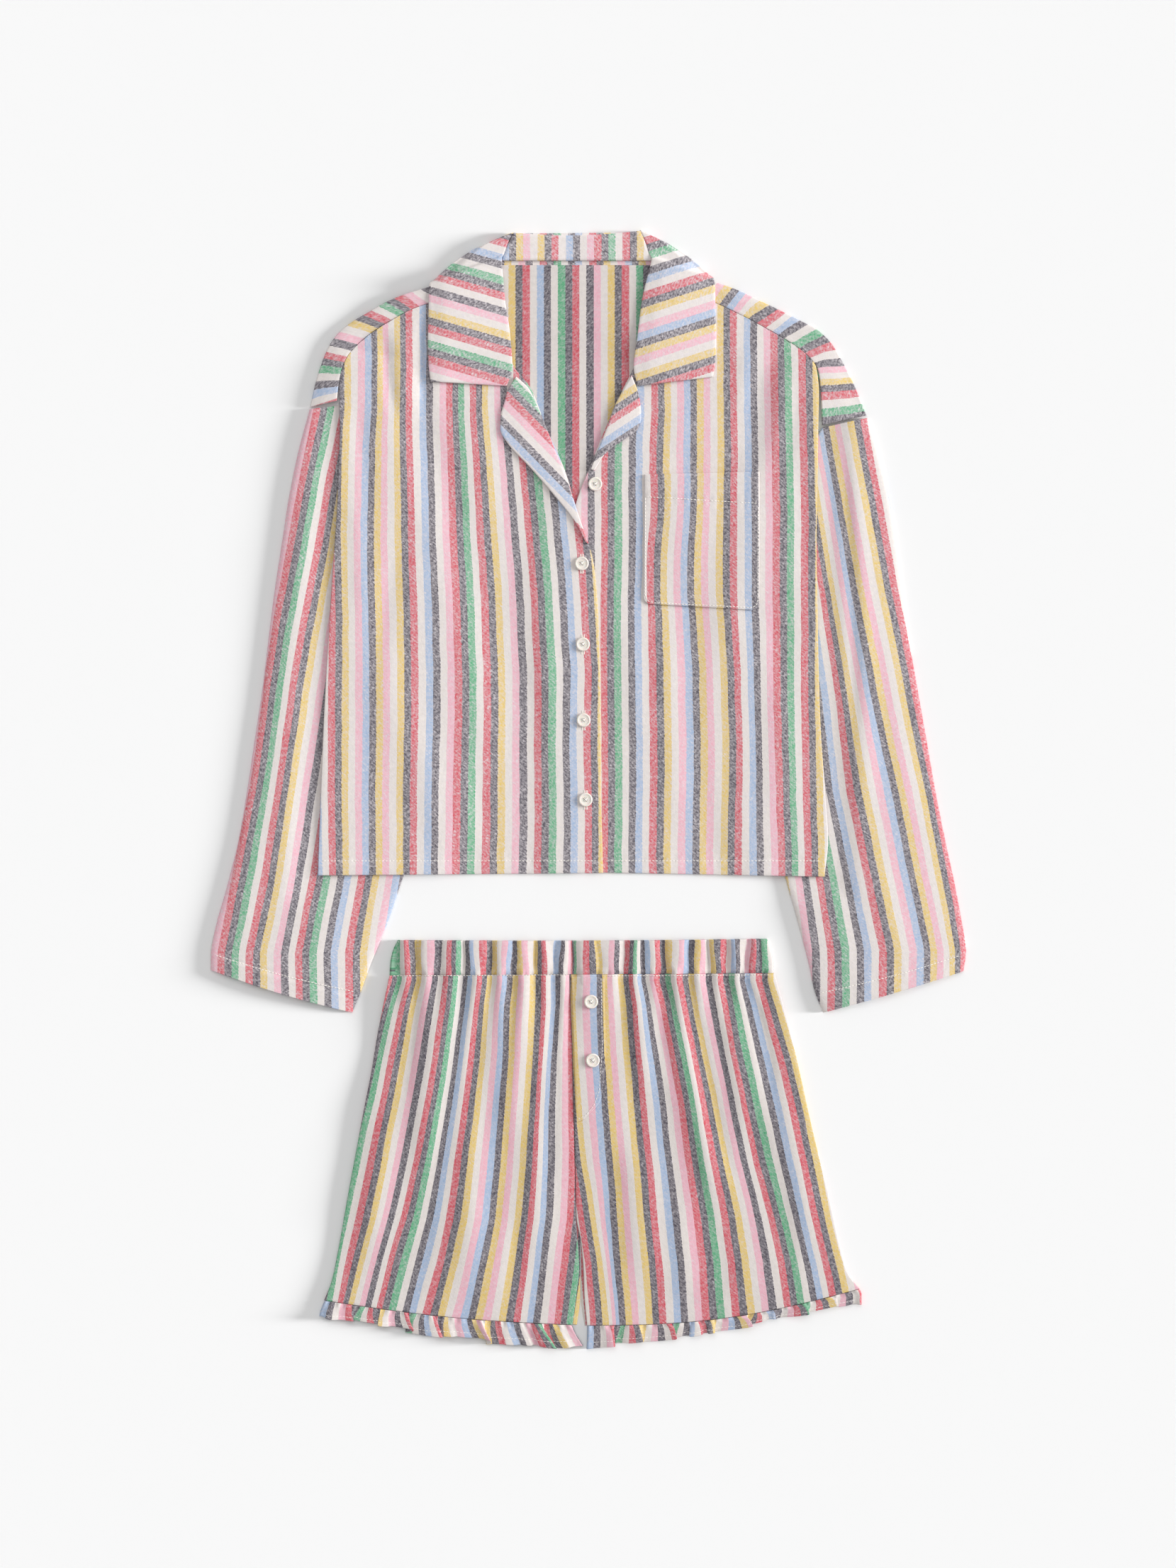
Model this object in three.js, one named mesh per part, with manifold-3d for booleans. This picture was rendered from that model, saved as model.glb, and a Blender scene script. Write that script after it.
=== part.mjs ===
// A child's two-piece pyjama set in striped brushed-cotton twill, laid out flat and face up: a button-through
// shirt with an open notched collar above a pair of elasticated shorts with frilled hems.
// The shirt's sleeves are tucked behind its body, and the shorts lie below its hem.
//
// Millimetres. +Z is up from the surface that the set lies on, +Y runs from the hems to the collar, and +X is
// the viewer's right. Left and right in names are the wearer's, so a right-hand piece is on the viewer's left.
// The origin is the middle of the whole layout, on the surface.
import * as THREE from "three";
import { mergeVertices } from "three/addons/utils/BufferGeometryUtils.js";
import Module from "manifold-3d";

const wasm = await Module();
wasm.setup();

// Cloth: one layer, two layers sewn and turned, the casing with its elastic, and the gap between pieces.
const PLY = 1.2;
const DOUBLE = 2.2;
const CASING = 1.6;
const GAP = 0.3;
const REST = 0.35; // between two layers that lie on each other
const BLUNT = 0.5; // how far a flat tube's fold rounds off

const COLOURS = { cloth: 0xe7d3cf, inside: 0xdccbc6, button: 0xe9e2d6 };

// Curves and small maths

const clamp01 = (v) => Math.min(1, Math.max(0, v));
const mix = (a, b, t) => a + (b - a) * t;

// From 0 to 1 with a level start and end.
function smooth(v) {
  const t = clamp01(v);
  return t * t * (3 - 2 * t);
}

// A curve through one column of a table against another, with no overshoot between its rows.
function through(table, from, to) {
  const rows = [...table].sort((a, b) => a[from] - b[from]);
  const at = rows.map((row) => row[from]);
  const value = rows.map((row) => row[to]);
  const chord = at.slice(1).map((v, i) => (value[i + 1] - value[i]) / (v - at[i]));
  const slope = at.map((_, i) => {
    const before = chord[Math.max(0, i - 1)];
    const after = chord[Math.min(chord.length - 1, i)];
    return before * after <= 0 ? 0 : (2 * before * after) / (before + after);
  });
  return (v) => {
    if (v <= at[0]) return value[0];
    if (v >= at[at.length - 1]) return value[value.length - 1];
    const i = at.findIndex((a, n) => v < at[n + 1]);
    const width = at[i + 1] - at[i];
    const t = (v - at[i]) / width;
    const tt = t * t;
    const ttt = tt * t;
    return (
      value[i] * (2 * ttt - 3 * tt + 1) +
      value[i + 1] * (3 * tt - 2 * ttt) +
      slope[i] * width * (ttt - 2 * tt + t) +
      slope[i + 1] * width * (ttt - tt)
    );
  };
}

// Rows of points that run from a panel's left edge to its right, by way of a table with a row for each section:
// lx, ly is its left end, rx, ry its right end, bow is how far its middle dips, and on is 1 where it lies on the
// piece below it and 0 where it hangs past it.
function sections(table, rowCount, columnCount, stops = null) {
  const rows = table.map((row, i) => ({ bow: 0, on: 1, ...row, at: i / (table.length - 1) }));
  const names = ["lx", "ly", "rx", "ry", "bow", "on"];
  const curve = Object.fromEntries(names.map((name) => [name, through(rows, "at", name)]));
  const places = stops ?? Array.from({ length: rowCount + 1 }, (_, i) => i / rowCount);
  return places.map((t) =>
    Array.from({ length: columnCount + 1 }, (_, c) => {
      const u = c / columnCount;
      const x = mix(curve.lx(t), curve.rx(t), u);
      const y = mix(curve.ly(t), curve.ry(t), u) - curve.bow(t) * Math.sin(Math.PI * u);
      return { x, y, u, t, on: curve.on(t) };
    }),
  );
}

// Solids

// A closed mesh from points and faces, turned to face out.
function closed(points, faces) {
  const corner = (i) => new THREE.Vector3(...points[i]);
  const volume = faces.reduce((sum, [a, b, c]) => sum + corner(a).dot(corner(b).cross(corner(c))), 0);
  const index = volume < 0 ? faces.flatMap(([a, b, c]) => [a, c, b]) : faces.flat();
  return new THREE.BufferGeometry()
    .setAttribute("position", new THREE.Float32BufferAttribute(points.flat(), 3))
    .setIndex(index);
}

// Two faces for the square between points a, b, c and d.
const square = (a, b, c, d) => [
  [a, b, c],
  [a, c, d],
];

// A sheet of cloth over a grid of sections: bottom and thick give its underside and its thickness at a point.
function sheet(grid, bottom, thick = () => PLY) {
  const width = grid[0].length;
  const count = grid.length * width;
  const low = grid.flat().map((p) => [p.x, p.y, bottom(p)]);
  const high = grid.flat().map((p, i) => [p.x, p.y, low[i][2] + thick(p)]);
  const faces = [];
  for (let r = 0; r + 1 < grid.length; r++)
    for (let c = 0; c + 1 < width; c++) {
      const a = r * width + c;
      const corners = [a, a + 1, a + 1 + width, a + width];
      faces.push(...square(...corners), ...square(...corners.map((i) => i + count).reverse()));
    }
  const right = (r) => r * width + width - 1;
  const rim = [
    ...grid[0].map((_, c) => c),
    ...grid.slice(1).map((_, r) => right(r + 1)),
    ...grid[0].slice(1).map((_, c) => right(grid.length - 1) - c - 1),
    ...grid.slice(1, -1).map((_, r) => (grid.length - 2 - r) * width),
  ];
  rim.forEach((a, i) => {
    const b = rim[(i + 1) % rim.length];
    faces.push(...square(b, a, a + count, b + count));
  });
  return closed([...low, ...high], faces);
}

// A tube of cloth lying flat: a ring for each section, its underside on the surface and its upper side at top(p).
// Both sides are a wall thick, and the tube is open at both ends.
function flatTube(grid, top, wall, underCount) {
  const last = grid.length - 1;
  const rings = grid.map((row) => {
    const [left, right] = [row[0], row[row.length - 1]];
    const length = Math.hypot(right.x - left.x, right.y - left.y);
    const across = [(right.x - left.x) / length, (right.y - left.y) / length];
    const inset = (p, by) => [p.x + across[0] * by * (1 - 2 * p.u), p.y + across[1] * by * (1 - 2 * p.u)];
    const under = Array.from({ length: underCount + 1 }, (_, i) => {
      return row[Math.round((1 - i / underCount) * (row.length - 1))];
    });
    const skin = (depth) => [
      [...inset(left, depth), top(left) / 2],
      ...row.map((p) => [...inset(p, depth + BLUNT), top(p) - depth]),
      [...inset(right, depth), top(right) / 2],
      ...under.map((p) => [...inset(p, depth + BLUNT), depth]),
    ];
    return { outer: skin(0), inner: skin(wall) };
  });
  const size = rings[0].outer.length;
  const points = rings.flatMap((ring) => [...ring.outer, ...ring.inner]);
  const at = (ring, side, i) => ring * 2 * size + side * size + (i % size);
  const faces = [];
  for (let i = 0; i < size; i++) {
    for (let r = 0; r < last; r++) {
      faces.push(...square(at(r, 0, i), at(r, 0, i + 1), at(r + 1, 0, i + 1), at(r + 1, 0, i)));
      faces.push(...square(at(r, 1, i + 1), at(r, 1, i), at(r + 1, 1, i), at(r + 1, 1, i + 1)));
    }
    faces.push(...square(at(0, 0, i + 1), at(0, 0, i), at(0, 1, i), at(0, 1, i + 1)));
    faces.push(...square(at(last, 0, i), at(last, 0, i + 1), at(last, 1, i + 1), at(last, 1, i)));
  }
  return closed(points, faces);
}

// A closed geometry as a solid that can be joined or cut, and back.
function solid(geometry) {
  const bare = geometry.clone();
  bare.deleteAttribute("normal");
  bare.deleteAttribute("uv");
  const merged = mergeVertices(bare, 1e-4);
  return new wasm.Manifold(
    new wasm.Mesh({
      numProp: 3,
      vertProperties: new Float32Array(merged.attributes.position.array),
      triVerts: new Uint32Array(merged.index.array),
    }),
  );
}

function fromSolid(body) {
  const mesh = body.getMesh();
  return new THREE.BufferGeometry()
    .setAttribute("position", new THREE.BufferAttribute(mesh.vertProperties, 3))
    .setIndex(new THREE.BufferAttribute(mesh.triVerts, 1));
}

const joined = (...geometries) => fromSolid(geometries.map(solid).reduce((a, b) => a.add(b)));

const set = new THREE.Group();

function add(name, geometry, colour = COLOURS.cloth) {
  const material = new THREE.MeshStandardMaterial({ color: colour, roughness: 0.9, metalness: 0 });
  const mesh = new THREE.Mesh(geometry, material);
  mesh.name = name;
  set.add(mesh);
  return mesh;
}

// Sleeves: each a flat tube from the armhole down to the hemmed cuff. The body lies on them, but for the 20 mm
// next to the shoulder and the part beyond its side seam.

const SLEEVE_RIGHT = [
  { lx: -229, ly: 312, rx: -190, ry: 317 },
  { lx: -238, ly: 278, rx: -180, ry: 280 },
  { lx: -245, ly: 245, rx: -166, ry: 238 },
  { lx: -252, ly: 200, rx: -148, ry: 186 },
  { lx: -258, ly: 160, rx: -133, ry: 138 },
  { lx: -263, ly: 120, rx: -124, ry: 92 },
  { lx: -268, ly: 80, rx: -122, ry: 45 },
  { lx: -274, ly: 40, rx: -129, ry: 2 },
  { lx: -280, ly: 0, rx: -140, ry: -38 },
  { lx: -287, ly: -40, rx: -153, ry: -72 },
  { lx: -297, ly: -80, rx: -166, ry: -110 },
  { lx: -305, ly: -108, rx: -179, ry: -142 },
  { lx: -310, ly: -132, rx: -187, ry: -164, bow: 2 },
  { lx: -310, ly: -146, rx: -194, ry: -181, bow: 2 },
];
const SLEEVE_LEFT = [
  { lx: 190, ly: 297, rx: 228, ry: 305 },
  { lx: 176, ly: 276, rx: 237, ry: 274 },
  { lx: 161, ly: 234, rx: 245, ry: 240 },
  { lx: 148, ly: 186, rx: 251, ry: 200 },
  { lx: 138, ly: 140, rx: 256, ry: 160 },
  { lx: 133, ly: 94, rx: 262, ry: 120 },
  { lx: 134, ly: 48, rx: 269, ry: 80 },
  { lx: 141, ly: 5, rx: 276, ry: 40 },
  { lx: 151, ly: -38, rx: 283, ry: 0 },
  { lx: 161, ly: -74, rx: 291, ry: -40 },
  { lx: 170, ly: -106, rx: 299, ry: -77 },
  { lx: 179, ly: -140, rx: 304, ry: -104 },
  { lx: 184, ly: -163, rx: 308, ry: -130, bow: 2 },
  { lx: 191, ly: -181, rx: 306, ry: -147, bow: 1 },
];
const SLEEVE_FLAT = 2.6; // both layers, where the body lies on them
const SLEEVE_PUFF = 3; // how much higher the part in view stands

// Where the sleeves' hidden edges run behind the body.
const hiddenRight = through(SLEEVE_RIGHT, "ry", "rx");
const hiddenLeft = through(SLEEVE_LEFT, "ly", "lx");

// The shirt body's side edges, with its armholes, which the back and the fronts share.
const HEM_Y = -68;
const BODY_EDGES = [
  { y: HEM_Y, right: -222, left: 192 },
  { y: -40, right: -221, left: 195 },
  { y: 0, right: -219.5, left: 192.5 },
  { y: 60, right: -217, left: 188.5 },
  { y: 140, right: -213, left: 186.5 },
  { y: 200, right: -209, left: 185.5 },
  { y: 260, right: -205, left: 186.5 },
  { y: 300, right: -204, left: 187 },
  { y: 330, right: -204, left: 187.5 },
];
const sideRight = through(BODY_EDGES, "y", "right");
const sideLeft = through(BODY_EDGES, "y", "left");

// The long fold in the left sleeve, which runs down beside the body from the armhole.
const SLEEVE_FOLD = [
  { y: 290, x: 203 },
  { y: 220, x: 211 },
  { y: 140, x: 213 },
  { y: 60, x: 211 },
  { y: -10, x: 208 },
];
const foldLine = through(SLEEVE_FOLD, "y", "x");

function sleeveTop({ x, y, u }) {
  const beyond = Math.max(sideRight(y) - x, x - sideLeft(y), HEM_Y - y) - 12;
  const crown = Math.sin(Math.PI * clamp01(u)) ** 0.6;
  const run = smooth((y + 30) / 50) * smooth((300 - y) / 40);
  const fold = x > 0 ? 0.9 * run * Math.exp(-(((x - foldLine(y) - 6) / 6) ** 2)) : 0;
  return SLEEVE_FLAT + SLEEVE_PUFF * smooth(beyond / 20) * crown + fold;
}

function sleeves() {
  add("sleeve_right", flatTube(sections(SLEEVE_RIGHT, 15, 10), sleeveTop, PLY, 3));
  add("sleeve_left", flatTube(sections(SLEEVE_LEFT, 15, 12), sleeveTop, PLY, 3));
}

// Back: it lies on its outside face, over the sleeves and over the collar's fall.

const RISE = SLEEVE_FLAT + GAP; // how far a sleeve lifts what lies on it
const DRAPE = 40; // the run over which cloth comes back down to the surface
const FALL_RISE = DOUBLE + GAP;
const BACK_WIDER = 9; // the back is held up this far past a sleeve's edge
const WIDER = 18; // and the fronts this far

// How far the sleeves lift the cloth at a point.
function overSleeves(x, y, wider = 0) {
  const right = smooth((hiddenRight(y) + wider + DRAPE - x) / DRAPE);
  const left = smooth((x - hiddenLeft(y) + wider + DRAPE) / DRAPE);
  return RISE * Math.max(right, left) * smooth((356 + wider - y) / 30);
}

// How far the collar's fall, which is folded behind the neck, lifts the cloth.
function overFall(x, y, wider = 0) {
  return FALL_RISE * smooth((y - 352 + wider) / 36) * smooth((190 + wider - Math.abs(x + 12)) / 62);
}

const backFloor = ({ x, y }) => Math.max(overSleeves(x, y, BACK_WIDER), overFall(x, y));

const BACK = [
  { lx: -220.5, ly: -66, rx: 190.5, ry: -67 },
  { lx: -219.5, ly: -40, rx: 193.5, ry: -40 },
  { lx: -218, ly: 0, rx: 191, ry: 0 },
  { lx: -215.5, ly: 60, rx: 187, ry: 60 },
  { lx: -211.5, ly: 140, rx: 185, ry: 140 },
  { lx: -207.5, ly: 200, rx: 184, ry: 200 },
  { lx: -204, ly: 260, rx: 185, ry: 260 },
  { lx: -203, ly: 300, rx: 185.5, ry: 300 },
  { lx: -203.5, ly: 330, rx: 186.5, ry: 330 },
  { lx: -206, ly: 350, rx: 190, ry: 350 },
  { lx: -198, ly: 366, rx: 184, ry: 364 },
  { lx: -180, ly: 380, rx: 168, ry: 378 },
  { lx: -154, ly: 396, rx: 138, ry: 393 },
  { lx: -124, ly: 408, rx: 104, ry: 407 },
  { lx: -96, ly: 421, rx: 76, ry: 420 },
  { lx: -76, ly: 430, rx: 54, ry: 430 },
];

// The back runs over each shoulder to a seam on the chest, as a folded band. Its outer end is on the fold, and its
// inner end at the seam.
const SHOULDER_RIGHT = [
  { lx: -74, ly: 432, rx: -78, ry: 414 },
  { lx: -92, ly: 427, rx: -94, ry: 409 },
  { lx: -110, ly: 420, rx: -112, ry: 404 },
  { lx: -132, ly: 412, rx: -132, ry: 398.5 },
  { lx: -150, ly: 406.5, rx: -147, ry: 393 },
  { lx: -166, ly: 400, rx: -158, ry: 387 },
  { lx: -180, ly: 392, rx: -169, ry: 380.5 },
  { lx: -193, ly: 384.5, rx: -180, ry: 373 },
  { lx: -205, ly: 375, rx: -190, ry: 364.5 },
  { lx: -213, ly: 364, rx: -198, ry: 355 },
  { lx: -219, ly: 350, rx: -202.5, ry: 344 },
  { lx: -224, ly: 334, rx: -205, ry: 332 },
  { lx: -228.5, ly: 314, rx: -206.5, ry: 319 },
];
const SHOULDER_LEFT = [
  { lx: 58, ly: 414, rx: 54, ry: 432 },
  { lx: 74, ly: 409, rx: 72, ry: 427 },
  { lx: 92, ly: 403, rx: 90, ry: 420 },
  { lx: 104, ly: 398.5, rx: 103, ry: 416 },
  { lx: 118, ly: 392, rx: 120, ry: 410 },
  { lx: 131, ly: 385.5, rx: 137, ry: 402 },
  { lx: 145, ly: 378, rx: 153, ry: 394.5 },
  { lx: 159, ly: 370, rx: 170, ry: 386 },
  { lx: 172, ly: 361.5, rx: 186, ry: 377.5 },
  { lx: 181, ly: 353, rx: 198, ry: 366 },
  { lx: 187, ly: 343, rx: 208, ry: 349 },
  { lx: 189, ly: 325, rx: 217, ry: 331 },
  { lx: 190, ly: 299, rx: 226.5, ry: 307.3 },
];
const BAND = 2 * PLY + REST;
const BAND_SINK = 0.6; // how far into the back's own layer the folded band starts

function back() {
  const panel = sheet(sections(BACK, 20, 18), backFloor);
  const bandFloor = ({ x, y }) => overFall(x, y) + BAND_SINK;
  const band = (table) => sheet(sections(table, 14, 2), bandFloor, () => BAND - BAND_SINK);
  add("back", joined(panel, band(SHOULDER_RIGHT), band(SHOULDER_LEFT)), COLOURS.inside);
}

// Fronts: they lie on the back, and meet its folded bands at the shoulder seams. The right front laps over the left.

const FRONT_RIGHT = [
  { lx: -222, ly: -69, rx: 11, ry: -67 },
  { lx: -221, ly: -40, rx: 10.5, ry: -40 },
  { lx: -219.5, ly: 0, rx: 9.3, ry: 0 },
  { lx: -217, ly: 60, rx: 9, ry: 60 },
  { lx: -213, ly: 130, rx: 7.6, ry: 130 },
  { lx: -209.5, ly: 185, rx: 4, ry: 182 },
  { lx: -206.5, ly: 228, rx: -9, ry: 225 },
  { lx: -205, ly: 262, rx: -20, ry: 262 },
  { lx: -204, ly: 296, rx: -34, ry: 294 },
  { lx: -204.5, ly: 330, rx: -48, ry: 329 },
  { lx: -200, ly: 347, rx: -63, ry: 350 },
  { lx: -190, ly: 361, rx: -66, ry: 368 },
  { lx: -169, ly: 377, rx: -67, ry: 384 },
  { lx: -147, ly: 390, rx: -70, ry: 399 },
  { lx: -112, ly: 401, rx: -78, ry: 411 },
];
const FRONT_LEFT = [
  { lx: -22, ly: -66, rx: 192, ry: -70 },
  { lx: -22, ly: -40, rx: 195, ry: -40 },
  { lx: -22, ly: 0, rx: 192.5, ry: 0 },
  { lx: -22, ly: 60, rx: 188.5, ry: 60 },
  { lx: -22, ly: 140, rx: 186.5, ry: 140 },
  { lx: -20, ly: 200, rx: 185.5, ry: 200 },
  { lx: -11, ly: 236, rx: 186, ry: 236 },
  { lx: -1, ly: 262, rx: 186.5, ry: 262 },
  { lx: 12, ly: 294, rx: 187, ry: 296 },
  { lx: 27, ly: 328, rx: 187.5, ry: 326 },
  { lx: 37, ly: 350, rx: 184, ry: 342 },
  { lx: 39, ly: 370, rx: 174, ry: 354 },
  { lx: 41, ly: 386, rx: 152, ry: 369 },
  { lx: 43, ly: 400, rx: 128, ry: 383 },
  { lx: 55, ly: 410, rx: 92, ry: 399 },
];
const seamRight = through(SHOULDER_RIGHT, "rx", "ry");
const seamLeft = through(SHOULDER_LEFT, "lx", "ly");
const LAP = PLY + REST; // how far the left front lifts the right one where they lap

// Soft folds in the fronts: each runs between two points, with its height and half width.
const FRONT_FOLDS = [
  { x0: -157, y0: 385, x1: -146, y1: 292, high: 1.4, half: 9 },
  { x0: -96, y0: 330, x1: -88, y1: 210, high: 0.8, half: 16 },
  { x0: 158, y0: 355, x1: 150, y1: 275, high: 1, half: 10 },
  { x0: -190, y0: 150, x1: -120, y1: -40, high: 0.8, half: 18 },
  { x0: 60, y0: 130, x1: 75, y1: -50, high: 0.9, half: 16 },
  { x0: 160, y0: 120, x1: 150, y1: -40, high: 0.8, half: 14 },
];

// How high a fold stands at a point, from nothing at its ends and sides.
function ridge(x, y, fold) {
  const dx = fold.x1 - fold.x0;
  const dy = fold.y1 - fold.y0;
  const length = Math.hypot(dx, dy);
  const along = ((x - fold.x0) * dx + (y - fold.y0) * dy) / length;
  const aside = ((x - fold.x0) * dy - (y - fold.y0) * dx) / length;
  const ends = smooth(along / 30 + 0.3) * smooth((length - along) / 30 + 0.3);
  return fold.high * ends * Math.exp(-((aside / fold.half) ** 2));
}

const foldsAt = (x, y, folds) => folds.reduce((sum, fold) => sum + ridge(x, y, fold), 0);

function frontFloor({ x, y }) {
  const onBack = Math.max(overSleeves(x, y, WIDER), overFall(x, y, WIDER)) + PLY + REST;
  return onBack + foldsAt(x, y, FRONT_FOLDS);
}

const frontRightFloor = (p) => frontFloor(p) + LAP * smooth((p.x + 52) / 24) * smooth((262 - p.y) / 20);
const frontRightTop = (p) => frontRightFloor(p) + PLY;
const frontLeftTop = (p) => frontFloor(p) + PLY;

// A panel's grid, held clear of the shoulder seam.
function belowSeam(grid, seam, within) {
  return grid.map((row) => row.map((p) => (within(p.x) ? { ...p, y: Math.min(p.y, seam(p.x) - 2 * GAP) } : p)));
}

function fronts() {
  const right = belowSeam(sections(FRONT_RIGHT, 18, 12), seamRight, (x) => x > -203);
  const left = belowSeam(sections(FRONT_LEFT, 18, 12), seamLeft, (x) => x < 187);
  add("front_right", sheet(right, frontRightFloor));
  add("front_left", sheet(left, frontFloor));
}

// Lapels: the top of each front's facing, turned back on the front along the roll line.

const LAPEL_RIGHT = [
  { lx: -3, ly: 203, rx: -0.6, ry: 202 },
  { lx: -12, ly: 220, rx: -7, ry: 220 },
  { lx: -30, ly: 243, rx: -14.5, ry: 243 },
  { lx: -50, ly: 266, rx: -21, ry: 262 },
  { lx: -66, ly: 283, rx: -29, ry: 281 },
  { lx: -73, ly: 296, rx: -36, ry: 299 },
  { lx: -72.5, ly: 307, rx: -43, ry: 315 },
  { lx: -69.5, ly: 318, rx: -49.5, ry: 329 },
  { lx: -67, ly: 328, rx: -60, ry: 339 },
];
const LAPEL_LEFT = [
  { lx: 1, ly: 263, rx: 4, ry: 262 },
  { lx: 5, ly: 274, rx: 14, ry: 277 },
  { lx: 10, ly: 286.5, rx: 28, ry: 287 },
  { lx: 15, ly: 299, rx: 39.5, ry: 296 },
  { lx: 20, ly: 313.5, rx: 42.3, ry: 306 },
  { lx: 27.5, ly: 328, rx: 41.5, ry: 317 },
  { lx: 34.5, ly: 340, rx: 39.7, ry: 327 },
];

function lapels() {
  const rightFloor = (p) => frontRightTop(p) + REST;
  const leftFloor = (p) => frontLeftTop(p) + REST;
  add("lapel_right", sheet(sections(LAPEL_RIGHT, 10, 4), rightFloor, () => DOUBLE));
  add("lapel_left", sheet(sections(LAPEL_LEFT, 8, 3), leftFloor, () => DOUBLE));
}

// Collar: one piece of doubled cloth. Its fall is folded behind the neck, its stand shows there inside out, and its
// two leaves lie on the fronts.

const LEAF_RIGHT = [
  { lx: -130, ly: 334.5, rx: -67.5, ry: 331 },
  { lx: -131.5, ly: 350, rx: -63, ry: 347 },
  { lx: -132, ly: 370, rx: -65, ry: 375 },
  { lx: -131.5, ly: 392, rx: -69, ry: 402 },
  { lx: -131, ly: 413.5, rx: -71.5, ry: 434 },
  { lx: -126, ly: 419, rx: -69, ry: 440, on: 0 },
  { lx: -114, ly: 430, rx: -66, ry: 449, on: 0 },
  { lx: -96, ly: 442.5, rx: -62, ry: 457, on: 0 },
];
const LEAF_LEFT = [
  { lx: 39.5, ly: 331, rx: 101, ry: 338.5 },
  { lx: 36, ly: 347, rx: 103, ry: 354 },
  { lx: 39.5, ly: 375, rx: 103.5, ry: 372 },
  { lx: 43, ly: 402, rx: 103, ry: 392 },
  { lx: 50.5, ly: 434, rx: 102, ry: 417.5 },
  { lx: 48, ly: 440, rx: 97, ry: 423, on: 0 },
  { lx: 45, ly: 450, rx: 82, ry: 436, on: 0 },
  { lx: 41, ly: 458.7, rx: 64, ry: 448, on: 0 },
];
const FALL = [
  { lx: -112, ly: 392, rx: 88, ry: 392 },
  { lx: -118, ly: 412, rx: 92, ry: 412 },
  { lx: -106, ly: 434, rx: 82, ry: 432 },
  { lx: -88, ly: 446, rx: 66, ry: 445 },
  { lx: -66, ly: 456, rx: 46, ry: 457 },
];
const STAND = [
  { lx: -72, ly: 433.5, rx: 52, ry: 433.5 },
  { lx: -68, ly: 444, rx: 48, ry: 444 },
  { lx: -62, ly: 456.5, rx: 42, ry: 458.2, bow: 3 },
];
const STAND_TOP = 6.4;

function collar() {
  const onFront = (x, y, top) => Math.max(top, overFall(x, y, WIDER) + BAND) + REST;
  const leafFloor = (p) => mix(BAND_SINK, onFront(p.x, p.y, frontLeftTop(p)), p.on);
  const leafThick = (p) => mix(STAND_TOP - BAND_SINK, DOUBLE, p.on);
  const leaf = (table) => sheet(sections(table, 12, 5), leafFloor, leafThick);
  const fall = sheet(sections(FALL, 5, 8), () => 0, () => DOUBLE);
  const stand = sheet(sections(STAND, 2, 8), () => BAND_SINK, () => STAND_TOP - BAND_SINK);
  add("collar", joined(fall, stand, leaf(LEAF_RIGHT), leaf(LEAF_LEFT)));
}

// Pocket: a patch on the left front, with its top edge open.

const POCKET = [
  { lx: 44, ly: 153, rx: 138.7, ry: 148 },
  { lx: 44.4, ly: 200, rx: 139, ry: 200 },
  { lx: 45, ly: 259, rx: 139, ry: 261 },
];

function pocket() {
  const puff = (p) => 1.6 * Math.sin(Math.PI * p.u) * smooth(p.t * 1.2);
  const floor = (p) => frontLeftTop(p) + 2 * REST + puff(p);
  add("pocket", sheet(sections(POCKET, 6, 6), floor));
}

// Buttons: 18 line, with a raised rim, a dished middle and four holes.

const BUTTON = { radius: 5.75, thick: 2.4, rim: 1.3, dish: 0.7, hole: 0.85, spread: 1.35 };
const SHIRT_BUTTONS = [
  { x: 4.7, y: 251 },
  { x: -6.3, y: 186 },
  { x: -5.4, y: 120 },
  { x: -4.8, y: 58 },
  { x: -3.2, y: -7 },
];
const SHORTS_BUTTONS = [
  { x: 1.3, y: -172 },
  { x: 2.7, y: -220 },
];

function buttonShape() {
  const { radius, thick, rim, dish, hole, spread } = BUTTON;
  const profile = [
    [0, 0],
    [radius - 1, 0],
    [radius, thick / 2],
    [radius - 0.4, thick],
    [radius - rim, thick],
    [radius - rim - 0.7, thick - dish],
    [0, thick - dish],
  ].map(([r, z]) => new THREE.Vector2(r, z));
  const disc = solid(new THREE.LatheGeometry(profile, 14).rotateX(Math.PI / 2));
  const drills = [45, 135, 225, 315].map((degrees) => {
    const angle = THREE.MathUtils.degToRad(degrees);
    const drill = new THREE.CylinderGeometry(hole, hole, 3 * thick, 6).rotateX(Math.PI / 2);
    return solid(drill.translate(spread * Math.cos(angle), spread * Math.sin(angle), 0));
  });
  return fromSolid(drills.reduce((body, drill) => body.subtract(drill), disc));
}

// A button for each place, seated on whatever cloth top(p) says lies beneath it.
function buttons(name, places, top) {
  places.forEach((place, i) => {
    const under = [-1, 0, 1].flatMap((a) => [-1, 0, 1].map((b) => [a * BUTTON.radius, b * BUTTON.radius]));
    const seat = Math.max(...under.map(([dx, dy]) => top({ x: place.x + dx, y: place.y + dy }, i)));
    const button = add(`${name}_${i + 1}`, buttonShape(), COLOURS.button);
    button.position.set(place.x, place.y, seat + GAP);
  });
}

// Shorts: two backs, two fronts, a waistband casing drawn up by its elastic, and a frill round each leg.

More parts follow.
